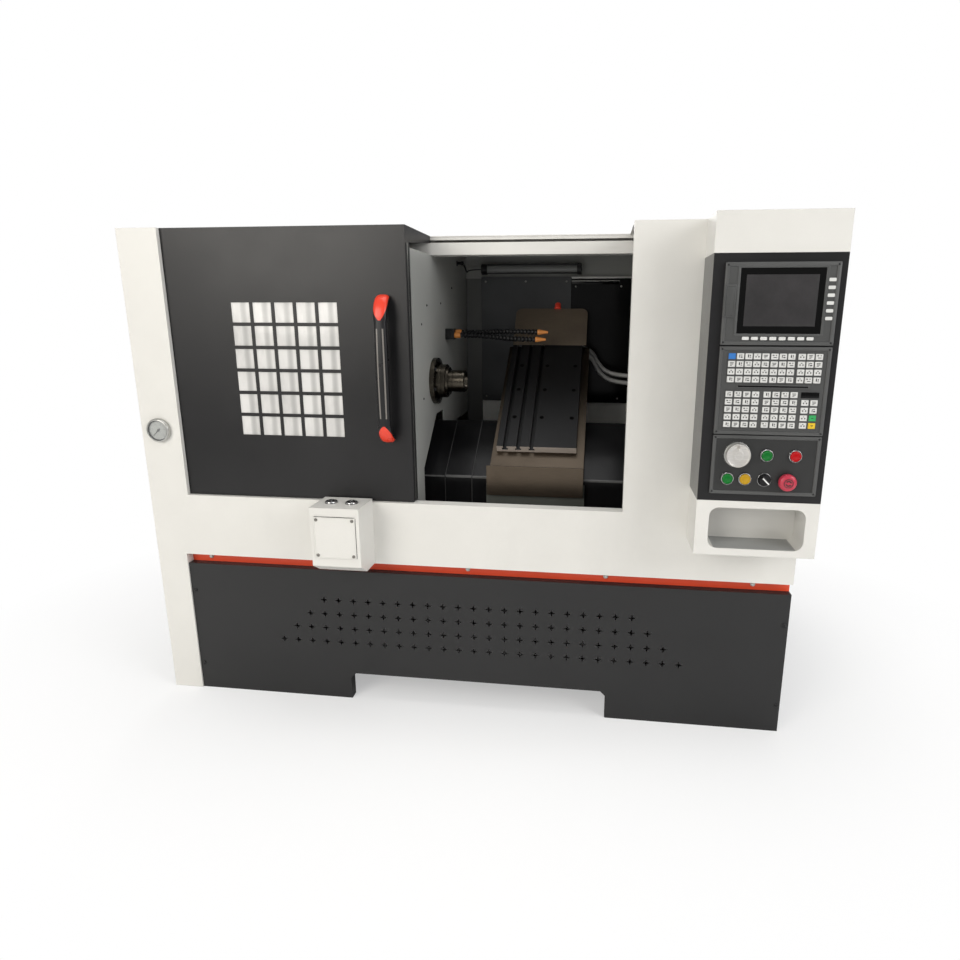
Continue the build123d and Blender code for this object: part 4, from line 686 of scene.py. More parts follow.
class LATHE_OT_finishes(bpy.types.Operator):
    """Procedural finishes, and their places on the solids of the frame"""
    bl_idname = "lathe.finishes"
    bl_label = "Finishes"

    # Solids of the frame by the finish they carry
    dressed = {
        "cream": ("front_guard", "enclosure_panels", "control_cabinet", "button_box"),
        "lining": ("inner_panels",),
        "charcoal": ("sliding_door", "control_housing"),
        "base_grey": ("base_frame", "base_front_panel"),
        "stripe": ("base_stripe",),
        "enamel": ("way_covers_saddle", "way_cover_left_outer", "way_cover_left_inner", "way_cover_right",
                   "way_covers_fixed", "drive_motors", "x_motor"),
        "shield": ("rear_shields",),
        "cast": ("bed_casting", "saddle"),
        "steel": ("z_guides", "z_carriages", "x_guides", "x_carriages", "z_screw", "x_screw", "motor_pulley"),
        "stainless": ("slide_apron",),
        "hood": ("slide_hood",),
        "lip": ("cross_slide",),
        "gang": ("gang_plate",),
        "turned": ("headstock", "spindle"),
        "rubber": ("drive_belt", "lamp_lead"),
        "panel": ("screen_bezel", "card_door", "keypad"),
        "plate": ("operator_plate",),
        "glass_black": ("screen_glass",),
        "pane": ("window_pane",),
        "black": ("door_handle", "mode_selector", "left_box_button", "right_box_button", "coolant_line",
                  "gauge_needle"),
        "orange": ("handle_caps",),
        "amber": ("coolant_fittings",),
        "green": ("start_button", "clamp_button"),
        "red": ("stop_button",),
        "yellow": ("coolant_button",),
        "mushroom": ("emergency_stop",),
        "zinc": ("handwheel", "gauge_case"),
        "frosted": ("work_lamp",),
        "grey_rib": ("conduits",),
    }

    def zones(self, tone):
        """Parts of the solids coloured otherwise, in metres of the shared frame, by finish.

        They are the seams of the end and rear sheets; the walls and floor of the tray's pocket, darkened as painted
        shade;
        the lower part of the back wall, its pale paint lightened as painted light; the back wall's corner, darkened as
        painted shadow, and its top, darkened as painted shade; the right wall, made black as painted shade; the
        housing's left edge, lightened as painted light; the edge of the fixed cover, a painted highlight along its
        bend; and the right rear shield, darkened as painted shade, with its upper edge."""
        seam = shade(tone.cream, 0.12)
        rear = {"Y": (CAD_BOX[1][1] - 0.002, 1)}
        seams = [({**rear, "X": (x - 0.001, x + 0.001)}, seam) for x in (-0.62, 0.02, 0.66)]
        seams.append(({**rear, "Z": (0.5605, 0.5625)}, seam))
        for end in ((-2, CAD_BOX[0][0] + 0.002), (CAD_BOX[1][0] - 0.002, 2)):
            seams.append(({"X": end, "Y": (0.139, 0.141)}, seam))
        tray = {"X": (0.75, 1.01), "Y": (-0.727, -0.6)}
        back_wall = {"Y": (0.29, 0.31)}
        right_shield = {"X": (0.31, 0.8)}
        return {
            # Tray pocket: its walls and floor darkened as painted shade
            "cream": (({**tray, "Z": (0.668, 0.787)}, shade(tone.cream, 0.88)),
                      ({**tray, "Z": (0.66, 0.6695)}, (0.3, 0.305, 0.3)), *seams),
            # Lower back wall: its pale paint lightened further as painted light
            "lining": (({**back_wall, "Z": (0.5, 0.94)}, shade(tone.cream, 1.4)),
                       # Back wall's corner by the end wall: darkened as painted shadow
                       ({**back_wall, "X": (-0.14, -0.069)}, shade(tone.lining, 0.38)),
                       # Top of the back wall: darkened as painted shade
                       ({**back_wall, "Z": (1.45, 1.6)}, shade(tone.lining, 0.86)),
                       # Right wall: made black as painted shade
                       ({"X": (0.713, 0.8)}, shade(tone.enamel, 1.5))),
            # Left side of the control housing: lightened as painted light
            "charcoal": (({"X": (0.714, 0.7157), "Y": (-0.74, -0.57)}, (0.14, 0.14, 0.135)),),
            # Lighter line along the bend of the fixed cover: a painted highlight
            "enamel": (({"Y": (-0.408, -0.3985), "Z": (0.7612, 0.769)}, (0.09, 0.09, 0.088)),),
            # Right rear shield: darkened from the left one's slate as painted shade, with a pale line on its upper edge
            "shield": ((right_shield, shade(tone.enamel, 0.2)),
                       ({**right_shield, "Z": (1.452, 1.456)}, shade(tone.cream, 0.9))),
        }

    def execute(self, context):
        tone = context.scene.lathe_colours
        zones = self.zones(tone)
        FINISHES.update({
            "cream": coat("cream_paint", tone.cream, 0.38, mottle=0.025, grain=0.1, grain_scale=420,
                          dirt=shade(tone.cream, 0.88), zones=zones["cream"]),
            # Lining: pale wall paint darkened as painted shade, with painted light and shade in its zones
            "lining": coat("lining_paint", tone.lining, 0.42, mottle=0.04, grain=0.1, grain_scale=420,
                           dirt=shade(tone.lining, 0.7), zones=zones["lining"]),
            "charcoal": coat("charcoal_wrinkle", tone.charcoal, 0.34, mottle=0.2, grain=0.4, grain_scale=620,
                             mottle_scale=3.0, shine=0.36, zones=zones["charcoal"]),
            "base_grey": coat("base_satin", tone.base_grey, 0.42, mottle=0.08, grain=0.2, grain_scale=520, shine=0.3),
            "stripe": coat("stripe_paint", tone.stripe, 0.4, mottle=0.06),
            "enamel": coat("black_enamel", tone.enamel, 0.2, mottle=0.2, grain=0.03, mottle_scale=8,
                           dirt=shade(tone.enamel, 2.0), edge=0.002, shine=0.1, zones=zones["enamel"]),
            "shield": coat("shield_enamel", tone.shield, 0.16, mottle=0.1, grain=0.02, shine=0.2,
                           zones=zones["shield"]),
            "cast": coat("casting", (0.072, 0.078, 0.068), 0.55, mottle=0.15, grain=0.5, grain_scale=300),
            "panel": coat("panel_moulding", tone.panel, 0.45, mottle=0.08, grain=0.35, grain_scale=1400),
            "border": coat("border_moulding", shade(tone.panel, 1.25), 0.4, mottle=0.08, grain=0.35, grain_scale=1400),
            "plate": coat("operator_film", shade(tone.panel, 0.36), 0.42, mottle=0.1, grain=0.25, grain_scale=1600),
            "rubber": coat("black_rubber", (0.016, 0.016, 0.016), 0.6, mottle=0.2, grain=0.3, grain_scale=700),
            "black": coat("black_moulding", (0.011, 0.011, 0.012), 0.3, mottle=0.15, grain=0.08, edge=0.0015,
                          shine=0.35),
            "glass_black": coat("black_glass", (0.003, 0.003, 0.003), 0.06, mottle=0.1, grain=0.0, rough_spread=0.02,
                                shine=0.2),
            "display": coat("dark_display", (0.038, 0.036, 0.037), 0.16, mottle=0.25, mottle_scale=9, grain=0.04),
            "orange": coat("orange_moulding", tone.orange, 0.3, mottle=0.06, grain=0.06),
            # Lighter bands of the door grip: painted highlights along its rounded edges
            "bright_band": coat("grip_highlight", (0.2, 0.185, 0.17), 0.22, mottle=0.1, grain=0.05),
            "amber": coat("amber_moulding", tone.amber, 0.34, mottle=0.08),
            "mushroom": coat("red_mushroom", (0.48, 0.03, 0.06), 0.3, mottle=0.06, grain=0.1),
            "key": coat("key_cap", tone.key, 0.4, mottle=0.04, grain=0.1, grain_scale=1200),
            "ink": coat("dark_ink", (0.02, 0.02, 0.022), 0.5, mottle=0.1),
            "dial": coat("white_dial", (0.82, 0.82, 0.8), 0.45, mottle=0.02, grain=0.03),
            "gauge_face": coat("gauge_face", (0.36, 0.37, 0.35), 0.4, mottle=0.1, grain=0.03),
            "grey_rib": coat("grey_conduit", (0.42, 0.42, 0.41), 0.4, metal=0.2, mottle=0.15, grain=0.1,
                             mottle_scale=40),
            "frosted": coat("frosted_tube", (0.2, 0.205, 0.2), 0.45, mottle=0.12, grain=0.05, coat_weight=0.5),
            "steel": brushed("ground_steel", tone.steel, 0.28, "x"),
            "chrome": brushed("chrome", (0.62, 0.62, 0.62), 0.13, "z", fine=0.05),
            "turned": brushed("turned_steel", (0.085, 0.075, 0.06), 0.24, "z", fine=0.25),
            "rail": coat("rail_edge", (0.62, 0.62, 0.6), 0.35, metal=0.2, mottle=0.06),
            "zinc": brushed("zinc_plate", (0.5, 0.5, 0.48), 0.32, "x", fine=0.1),
            "stainless": brushed("stainless_sheet", tone.stainless, 0.34, "x", stain=shade(tone.stainless, 0.7),
                                 edge=0.002),
            "hood": brushed("hood_sheet", shade(tone.stainless, 1.5), 0.42, "x", stain=shade(tone.stainless, 1.1),
                            metal=0.7, edge=0.002),
            "lip": brushed("slide_lip", shade(tone.stainless, 0.5), 0.38, "x", stain=shade(tone.stainless, 0.4)),
            "gang_end": brushed("milled_end", (0.46, 0.4, 0.35), 0.35, "x", metal=0.3),
            "gang": coat("gang_black", (0.009, 0.009, 0.0095), 0.46, mottle=0.25, grain=0.2, grain_scale=300,
                         stretch=(1, 0.3, 0.3), shine=0.15),
            # Near-black paint of the tapped holes: painted shade for their hollows
            "hole_shade": coat("painted_hole_shade", (0.002, 0.002, 0.002), 0.9, mottle=0.3, shine=0.02),
            "satin": brushed("satin_wheel", (0.68, 0.66, 0.63), 0.46, "x", metal=0.8, fine=0.3),
            "screw": brushed("dull_zinc", (0.26, 0.25, 0.23), 0.36, "x", fine=0.1),
            "oxide": brushed("black_oxide", tone.oxide, 0.36, "y", fine=0.12, metal=0.6,
                             stain=(0.05, 0.048, 0.044)),
            # Window sheet, with painted shadows of the window's upright bars
            "pane": clear("window_sheet", (0.9, 0.887, 0.862), 0.72, dim=0.7, bars=(-0.657, 0.0704)),
            "lens": clear("gauge_glass", (0.85, 0.87, 0.88), 0.1),
        })
        for name, lens, rough, key in (("green", (0.004, 0.15, 0.02), 0.14, (0.03, 0.36, 0.1)),
                                       ("yellow", (0.5, 0.29, 0.01), 0.16, (0.75, 0.5, 0.02)),
                                       ("red", (0.42, 0.004, 0.006), 0.14, None),
                                       ("blue", None, None, (0.03, 0.17, 0.5))):
            if lens:
                FINISHES[name] = coat(name + "_lens", lens, rough, mottle=0.12, grain=0.04, shine=0.3)
            if key:
                FINISHES["key_" + name] = coat("key_" + name, key, 0.4, mottle=0.05)
        bare = set(NODES)
        for name, nodes in self.dressed.items():
            for node in nodes:
                data = NODES[node].data
                data.materials.clear()
                data.materials.append(finish(name))
                bare.discard(node)
        if bare:
            raise RuntimeError(f"no finish for {sorted(bare)}")
        return {"FINISHED"}


# Cords


class LATHE_OT_cords(bpy.types.Operator):
    """Lamp lead and the saddle's two ribbed conduits, with their glands"""
    bl_idname = "lathe.cords"
    bl_label = "Cords"

    # Routes: the lead from the lamp to its gland, the conduits from the saddle's terminal to the right wall
    lead = (LAMP_END, (926, 840, 1484), (926, 790.4, 1465.9), (926, 755.3, 1489.6), (926, 719, 1498))
    lead_gland = (926, 699, 1498)
    conduits = (((1342, 700, 1183), (1437, 700, 1183), (1478.6, 700, 1092.3), (1559.8, 700, 1062), (1738, 700, 1062)),
                ((1342, 676, 1164), (1437, 676, 1164), (1478.6, 676, 1068), (1559.8, 676, 1036), (1738, 676, 1036)))

    def route(self, name, points):
        """Smooth open curve over a route's points."""
        data = bpy.data.curves.new(name, "CURVE")
        data.dimensions = "3D"
        data.resolution_u = 24
        line = data.splines.new("NURBS")
        line.points.add(len(points) - 1)
        for control, point in zip(line.points, points):
            control.co = (*spot(*point), 1)
        line.order_u = 3
        line.use_endpoint_u = True
        return linked(name, data)

    def line_of(self, curve):
        """Points along a curve that has no bevel, and their length."""
        data = settled_mesh(curve)
        points = [vertex.co.copy() for vertex in data.vertices]
        bpy.data.meshes.remove(data)
        return points, sum((b - a).length for a, b in zip(points, points[1:]))

    def execute(self, context):
        size = context.scene.lathe_sizes
        for name, points in zip(("conduit_upper", "conduit_lower"), self.conduits):
            curve = self.route(name + "_route", points)
            line, run = self.line_of(curve)
            mesh = grown(curve, ribbed_tree(), {
                "Radius": size.conduit_diameter / 2, "Rib depth": size.rib_depth, "Rib pitch": size.rib_pitch,
                "Sides": 20, "Finish": finish("grey_rib")})
            mesh.materials.clear()
            mesh.materials.append(finish("grey_rib"))
            piece = linked(name, mesh)
            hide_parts("conduits")
            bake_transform(piece)
        curve = self.route("lamp_cable", self.lead)
        line, run = self.line_of(curve)
        curve.data.bevel_depth = size.lead_diameter / 2
        curve.data.bevel_resolution = 6
        curve.data.use_fill_caps = True
        curve.data.materials.append(finish("rubber"))
        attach(curve, "machine")
        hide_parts("lamp_lead")
        self.glands()
        return {"FINISHED"}

    def glands(self):
        """Nut and bracket of the lead, and the conduits' nuts on the right wall."""
        shape = Shape()
        nut = facing(self.lead_gland, BACK)
        shape.turn([(-2, 0), (-2, 6), (0, 8), (8, 8), (9, 7.6), (9, 6.4), (17, 5.6), (20, 4), (20, 0)], nut, steps=24)
        shape.turn([(2, 8.6), (6, 8.6), (6, 7.6), (2, 7.6)], nut, steps=6, ring=True)
        shape.block((END_WALL, 699, 1493), (END_WALL + 17, 711, 1503), bevel=1.2)
        shape.block((END_WALL, 694, 1488), (END_WALL + 2.5, 716, 1508), bevel=0.8)
        for points in self.conduits:
            nut = facing((RIGHT_WALL, *points[-1][1:]), (-1, 0, 0))
            shape.turn([(0, 15), (7, 15), (8, 14), (8, 12.5), (16, 12), (18, 10.5), (18, 0)], nut, steps=28)
            shape.turn([(0, 16), (6, 16), (6, 14), (0, 14)], nut, steps=6, ring=True)
        shape.piece("cable_glands", ["black"], "machine", "black_plastic")


# Door


class LATHE_OT_handle(bpy.types.Operator):
    """Rounded grip of the door with its bright end caps, and the strips on the door's edge"""
    bl_idname = "lathe.handle"
    bl_label = "Door handle"

    # Middle of the grip (x, y), its lower end (z) and length, points round a section and how square it is,
    # sections along, and where the painted highlight bands beside the grip's front lie, in radians
    middle = (835, -33.5)
    grip_low, grip_length = 966, 320
    steps, square, count = 48, 0.72, 24
    front, stripe = 1.5 * math.pi, (0.25, 0.5)

    def loft(self, shape, sections, paint_of):
        """Closed skin through rings of equal count; paint_of gives the finish of a face from its place."""
        count = len(sections[0])
        for i, (low, high) in enumerate(zip(sections, sections[1:])):
            for k in range(count):
                far = (k + 1) % count
                shape.faces([low[k], low[far], high[far], high[k]], [(0, 1, 2, 3)], WORLD_MM, paint_of(i, k))
        for ring in (sections[0], sections[-1]):
            shape.faces(ring, [tuple(range(count))], WORLD_MM, paint_of(0, count - 1))
        bmesh.ops.remove_doubles(shape.mesh, verts=shape.mesh.verts, dist=0.01 * MM)
        bmesh.ops.recalc_face_normals(shape.mesh, faces=shape.mesh.faces)

    def ring(self, middle, size, angles, lean=0.0, tip=1):
        """Rounded section about (y, z), leaning back towards the door."""
        made = []
        for angle in angles:
            c, s = math.cos(angle), math.sin(angle)
            across = size[0] / 2 * math.copysign(abs(c) ** self.square, c)
            through = size[1] / 2 * math.copysign(abs(s) ** self.square, s)
            made.append((self.middle[0] + across, middle[0] + through * math.cos(lean),
                         middle[1] - tip * through * math.sin(lean)))
        return made

    def execute(self, context):
        grip = Shape()
        step = 2 * math.pi / self.steps
        angles = [step * k for k in range(self.steps)]
        highlight_faces = {k for k in range(self.steps)
                   if self.stripe[0] < abs(step * (k + 0.5) - self.front) < self.stripe[1]}
        sections = []
        for i in range(self.count + 1):
            share = i / self.count
            swell = math.sin(math.pi * share)
            place = (self.middle[1] - 0.8 * swell, self.grip_low + self.grip_length * share)
            sections.append(self.ring(place, (36 + 4 * swell, 21 + 2 * swell), angles))
        # Faces beside the grip's front take the lighter finish: painted highlights along its rounded edges
        self.loft(grip, sections, lambda i, k: 1 if k in highlight_faces and 1 < i < self.count - 2 else 0)
        grip.piece("handle_grip", ["black", "bright_band"], "door", "black_plastic", ["door_handle"], sharp=60)
        self.caps()
        self.edge()
        return {"FINISHED"}

    def caps(self):
        """Two ends that curve back to the door, bright in front."""
        caps = Shape()
        bright_band, front, count = 16, self.front, self.count
        for z0, z1, tip in ((969, 924, -1), (1283, 1347, 1)):
            sections = []
            for i in range(count + 1):
                share = i / count
                half = math.radians(4 + 86 * math.sin(min(1.0, share * 1.7) * math.pi / 2))
                angles = [front - half + 2 * half * k / bright_band for k in range(bright_band + 1)]
                angles += [front + half + (2 * math.pi - 2 * half) * k / count for k in range(1, count)]
                y = self.middle[1] + 36.5 * (1 - math.cos(share * math.pi / 2))
                z = z0 + (z1 - z0) * math.sin(share * math.pi / 2)
                sections.append(self.ring((y, z), (41.5 - 5 * share ** 3, 22 + 2 * math.sin(math.pi * share)), angles,
                                          math.pi / 2 * share * 0.96, tip))
            self.loft(caps, sections, lambda i, k: 0 if k < bright_band else 1)
        caps.piece("handle_ends", ["orange", "black"], "door", "orange_plastic", ["handle_caps"], sharp=60)

    def edge(self):
        """Strips on the door's closing edge."""
        edge = Shape()
        low, high = 724, 1505
        for y0, y1, x1, bevel, paint, steps in ((16, 30, 905.4, 0.3, 1, 2), (31, 35, 905.2, 0.2, 0, 1),
                                                (36, 52, 905.4, 0.3, 1, 2)):
            edge.block((904.5, y0, low), (x1, y1, high), bevel=bevel, paint=paint, steps=steps)
        edge.piece("door_edge_strips", ["zinc", "rubber"], "door", "black_plastic")


class LATHE_OT_front_sheet(bpy.types.Operator):
    """Folded front sheet of the base, pierced with rows of four-pointed stars, and what closes the base's gaps"""
    bl_idname = "lathe.front_sheet"
    bl_label = "Base front sheet"

    # Left edge, right edge and top of the sheet, and its thickness and the depth (y) its folds reach
    left, right, top = 103.5, 2080, 470
    thick, fold = 2, 33

    # Fork notch: its sides, its top and the chamfer of its corners
    notch, notch_top, chamfer = (660, 1531), 96, 18

    # Stars: rows, pitch both ways, and the middle (x, z) of the first row
    rows, pitch, first_row = 4, 51.2, (1092.8, 364)

    def outlines(self):
        """Edge of the sheet with its fork notch, then every star, as x and z."""
        near, far = self.notch
        side = self.notch_top - self.chamfer
        made = [[(self.left, 0), (near, 0), (near, side), (near + self.chamfer, self.notch_top),
                 (far - self.chamfer, self.notch_top), (far, side), (far, 0), (self.right, 0), (self.right, self.top),
                 (self.left, self.top)]]
        for row in range(self.rows):
            count = 21 + 2 * row
            for step in range(count):
                x = self.first_row[0] + self.pitch * (step - (count - 1) / 2)
                z = self.first_row[1] - self.pitch * row
                made.append([(x + c * a - s * b, z + s * a + c * b) for c, s in ((1, 0), (0, 1), (-1, 0), (0, -1))
                             for a, b in ((11, -1), (11, 1), (6, 2.2), (2.9, 2.9))])
        return made

    def execute(self, context):
        data = bpy.data.curves.new("front_sheet", "CURVE")
        data.dimensions = "2D"
        data.fill_mode = "BOTH"
        data.extrude = self.thick / 2
        for outline in self.outlines():
            line = data.splines.new("POLY")
            line.points.add(len(outline) - 1)
            for point, (x, z) in zip(line.points, outline):
                point.co = (x, z, 0, 1)
            line.use_cyclic_u = True
        holder = linked("front_sheet", data)
        flat = settled_mesh(holder)
        bpy.data.objects.remove(holder, do_unlink=True)
        flat.transform(facing((0, 6, 0), FRONT))
        sheet = Shape()
        sheet.mesh.from_mesh(flat)
        bpy.data.meshes.remove(flat)
        sheet.block((self.left, 5, self.top), (self.right, self.fold, self.top + self.thick))
        side = self.notch_top - self.chamfer
        for x, height in ((self.left, self.top), (self.right - self.thick, self.top),
                          (self.notch[0] - self.thick, side), (self.notch[1] - self.thick, side)):
            sheet.block((x, 7, 0), (x + self.thick, self.fold, height))
        sheet.piece("front_sheet", ["base_grey"], "machine", "grey_paint", ["base_front_panel"])
        self.closings()
        return {"FINISHED"}

    def closings(self):
        """Strips over the base at the right end and the back, and mats behind the vents of both ends."""
        strips = Shape()
        strips.block((2056, 60, 470.3), (2060, 1310, 545), bevel=0.8, steps=1)
        strips.block((40, 1312, 470.4), (2062, 1346, 473), bevel=0.6, steps=1)
        strips.piece("closing_strips", ["base_grey"], "machine", "grey_paint")
        mats = Shape()
        for x in (4, 2071):
            mats.block((x, 918, 688), (x + 5, 1102, 1006), bevel=1.2)
        mats.piece("vent_mats", ["rubber"], "machine", "black_plastic")


# Control panel


def control(across, up):
    """Place of a control on the operator plate from shares of its size."""
    low, height = PLATE_UNIT
    return (PANEL_LEFT + PANEL_WIDTH * across, PLATE_FACE, low + height * up)


class LATHE_OT_controls(bpy.types.Operator):
    """Handwheel, push buttons, selector and emergency stop with their bezels"""
    bl_idname = "lathe.controls"
    bl_label = "Operator controls"

    def execute(self, context):
        steps = context.scene.lathe_sizes.turn_steps
        buttons = (("start_button", (0.513, 0.673), "green", "green_plastic"),
                   ("stop_button", (0.776, 0.673), "red", "red_plastic"),
                   ("clamp_button", (0.161, 0.265), "green", "green_plastic"),
                   ("coolant_button", (0.327, 0.265), "yellow", "yellow_plastic"))
        bezels = Shape()
        for name, place, paint, slot in buttons:
            here = facing(control(*place), FRONT)
            lens = Shape()
            lens.turn([(-9, 0), (-9, 11.4), (3.6, 11.4), (3.6, 14), (6.6, 14), (7.8, 13.3), (8.3, 12.2), (7.6, 11.2),
                       (7.4, 8), (8.2, 5), (8.6, 0)], here, steps)
            lens.piece(name + "_cap", [paint], name, slot, [name])
            self.bezel(bezels, here, steps)
        selector = facing(control(0.511, 0.259), FRONT)
        self.bezel(bezels, selector, steps, paint=1)
        bezels.turn([(0, 17.5), (0, 18.3), (1.6, 18.3), (1.6, 17.5)], selector, steps, ring=True)
        bezels.piece("control_bezels", ["chrome", "black"], "machine", "zinc")
        knob = Shape()
        knob.turn([(-9, 0), (-9, 11.3), (4, 11.3), (4, 14), (8.4, 14), (9.2, 13.2), (9.2, 0)], selector, steps)
        swing = selector @ Matrix.Rotation(math.radians(45), 4, "Z")
        knob.block((-4.4, -13.4, 8.8), (4.4, 13.4, 19.8), swing, bevel=1.4, steps=3)
        knob.block((-1.7, -11.8, 19.6), (1.7, 11.8, 20.1), swing, bevel=0.3, paint=1)
        knob.piece("selector_knob", ["black", "dial"], "mode_selector", "black_plastic",
                   ["mode_selector"])
        self.wheel(steps)
        self.mushroom(steps)
        return {"FINISHED"}

    def bezel(self, shape, here, steps, paint=0):
        """Ring with a dark seal under it."""
        shape.turn([(0, 14.5), (0, 17.4), (3.2, 17.4), (4.8, 16.8), (5.6, 15.8), (5.4, 14.8), (4.6, 14.5)], here,
                   steps, paint, ring=True)
        shape.turn([(0, 17.4), (0, 18.1), (0.8, 18.1), (0.8, 17.4)], here, steps, paint=1, ring=True)

    def wheel(self, steps):
        """Handwheel with its crank knob, on a collar with a scale."""
        here = facing(control(0.238, 0.673), FRONT)
        wheel = Shape()
        wheel.turn([(-12, 0), (-12, 5.9), (2.2, 5.9), (2.2, 30), (3.2, 31.4), (5, 32), (17, 32), (19, 31.4), (20, 30.2),
                    (20, 29), (18.6, 28.2), (17.8, 26.5), (17.6, 14), (18.4, 13.4), (18.4, 9), (17.8, 8.4), (17.8, 0)],
                   here, steps)
        for i in range(steps):
            turn = here @ Matrix.Rotation(2 * math.pi * i / steps, 4, "Z")
            wheel.block((31.6, -0.55, 5.6), (32.4, 0.55, 15.6), turn)
        knob = here @ Matrix.Translation((0, 20, 0))
        wheel.turn([(17, 0), (17, 3.2), (18.6, 3.2), (19.4, 4.6), (22, 5), (30, 5), (33, 4.4), (34, 2.6), (34, 0)],
                   knob, 24)
        wheel.piece("handwheel_dial", ["satin"], "handwheel", "zinc", ["handwheel"])
        collar = Shape()
        collar.turn([(0, 6.4), (0, 33.4), (0.6, 34), (1.4, 34), (1.8, 33.2), (1.8, 6.4)], here, steps, ring=True)
        for i in range(50):
            turn = here @ Matrix.Rotation(2 * math.pi * i / 50, 4, "Z")
            long = 36.8 if i % 5 == 0 else 35.6
            collar.block((34.2, -0.16, 0), (long, 0.16, 0.25), turn, paint=1)
        collar.piece("handwheel_scale", ["zinc", "dial"], "machine", "zinc")

    def mushroom(self, steps):
        """Hollow cap of the emergency stop, with a ring of two arrows, over its collar."""
        here = facing(control(0.717, 0.241), FRONT)
        cap = Shape()
        cap.turn([(-9, 0), (-9, 10.9), (11.6, 10.9), (11.6, 18), (6.6, 18.6), (6.6, 21.8), (7.2, 22.8), (8.4, 23),
                  (16, 23), (19, 22.2), (21.6, 20), (23.3, 16.4), (24, 12), (24.1, 9.6), (23.6, 9.2), (23.6, 8.6),
                  (24.2, 8.2), (24.3, 0)], here, steps)
        cap.turn([(23.7, 10.6), (23.7, 12.4), (24.4, 12.4), (24.4, 10.6)], here, steps, paint=1, ring=True)
        for half in (0, math.pi):
            tip = half + 2.15
            shaft = [(7.8, half + a / 10) for a in range(2, 22)] + [(4.8, half + a / 10) for a in range(21, 1, -1)]
            head = [(3.4, tip), (9.2, tip), (6.4, tip + 0.62)]
            for arrow, high in ((shaft, 24.6), (head, 24.5)):
                cap.slab([(r * math.cos(a), r * math.sin(a)) for r, a in arrow], 24.1, high, here, paint=1)
        cap.piece("stop_mushroom", ["mushroom", "ink"], "emergency_stop", "red_plastic",
                  ["emergency_stop"])
        collar = Shape()
        collar.turn([(0, 11.3), (0, 16), (0.8, 16.4), (3.4, 16.2), (4.2, 15.2), (4.2, 11.3)], here, steps, ring=True)
        collar.piece("stop_collar", ["black"], "machine", "black_plastic")


class LATHE_OT_modules(bpy.types.Operator):
    """Screen, card door, soft keys and the raised borders of the three control modules"""
    bl_idname = "lathe.modules"
    bl_label = "Control modules"

    def execute(self, context):
        borders = Shape()
        section = [(0, 0), (0, 1.4), (-1.4, 2.2), (-8.2, 2.2), (-9.6, 1.2), (-10, 0)]
        for (low, height), face in ((SCREEN_UNIT, MODULE_FACE), (KEY_UNIT, MODULE_FACE), (PLATE_UNIT, PLATE_FACE)):
            middle = facing((PANEL_LEFT + PANEL_WIDTH / 2, face, low + height / 2), FRONT)
            borders.rim((PANEL_WIDTH, height), 5, section, middle)
        borders.rim((219, 175), 4, [(0, 0), (0, 0.8), (-0.7, 1.3), (-4.4, 1.3), (-6.6, 0.2), (-6.8, 0)],
                    facing((1925.5, MODULE_FACE, 1335.5), FRONT))
        borders.piece("module_borders", ["border"], "machine", "panel_plastic")
        screen = Shape()
        screen.block((1838, MODULE_FACE - 0.25, 1273), (2013, MODULE_FACE, 1400), bevel=0.1, steps=1)
        screen.piece("screen_display", ["display"], "machine", "glass_black")
        keys = Shape()
        keys.slab([(x, y) for x, y, _, _ in rounded(17, 8.4, 2.2, 4)], 0, 2.1, LOCAL_MM)
        places = [((2044, MODULE_FACE, 1387 - 18.8 * i), FRONT) for i in range(6)]
        places += [((1846 + 22.64 * i, MODULE_FACE, 1242.7), FRONT) for i in range(8)]
        seat("soft_keys", stock(keys, "soft_key_stock"), places, "key", "machine")
        flap = Shape()
        hinge = (1788.5, MODULE_FACE - 2.5, 1294)
        middle = facing((hinge[0] + 13.5, MODULE_FACE, hinge[2] + 41.5), FRONT)
        flap.turn([(0, 0), (0, 2), (83, 2), (83, 0)], facing(hinge, UP), 20)
        flap.block((-13.4, -41.5, 0.0), (13.5, 41.5, 2.5), middle, bevel=0.8)
        flap.rim((21, 74), 2, [(0, 2.4), (0, 3.0), (-1.2, 3.0), (-1.2, 2.4)], middle)
        flap.block((8.6, -7, 2.4), (11.2, 7, 3.4), middle, bevel=0.5)
        flap.piece("card_flap", ["panel"], "card_door", "panel_plastic", ["card_door"])
        return {"FINISHED"}


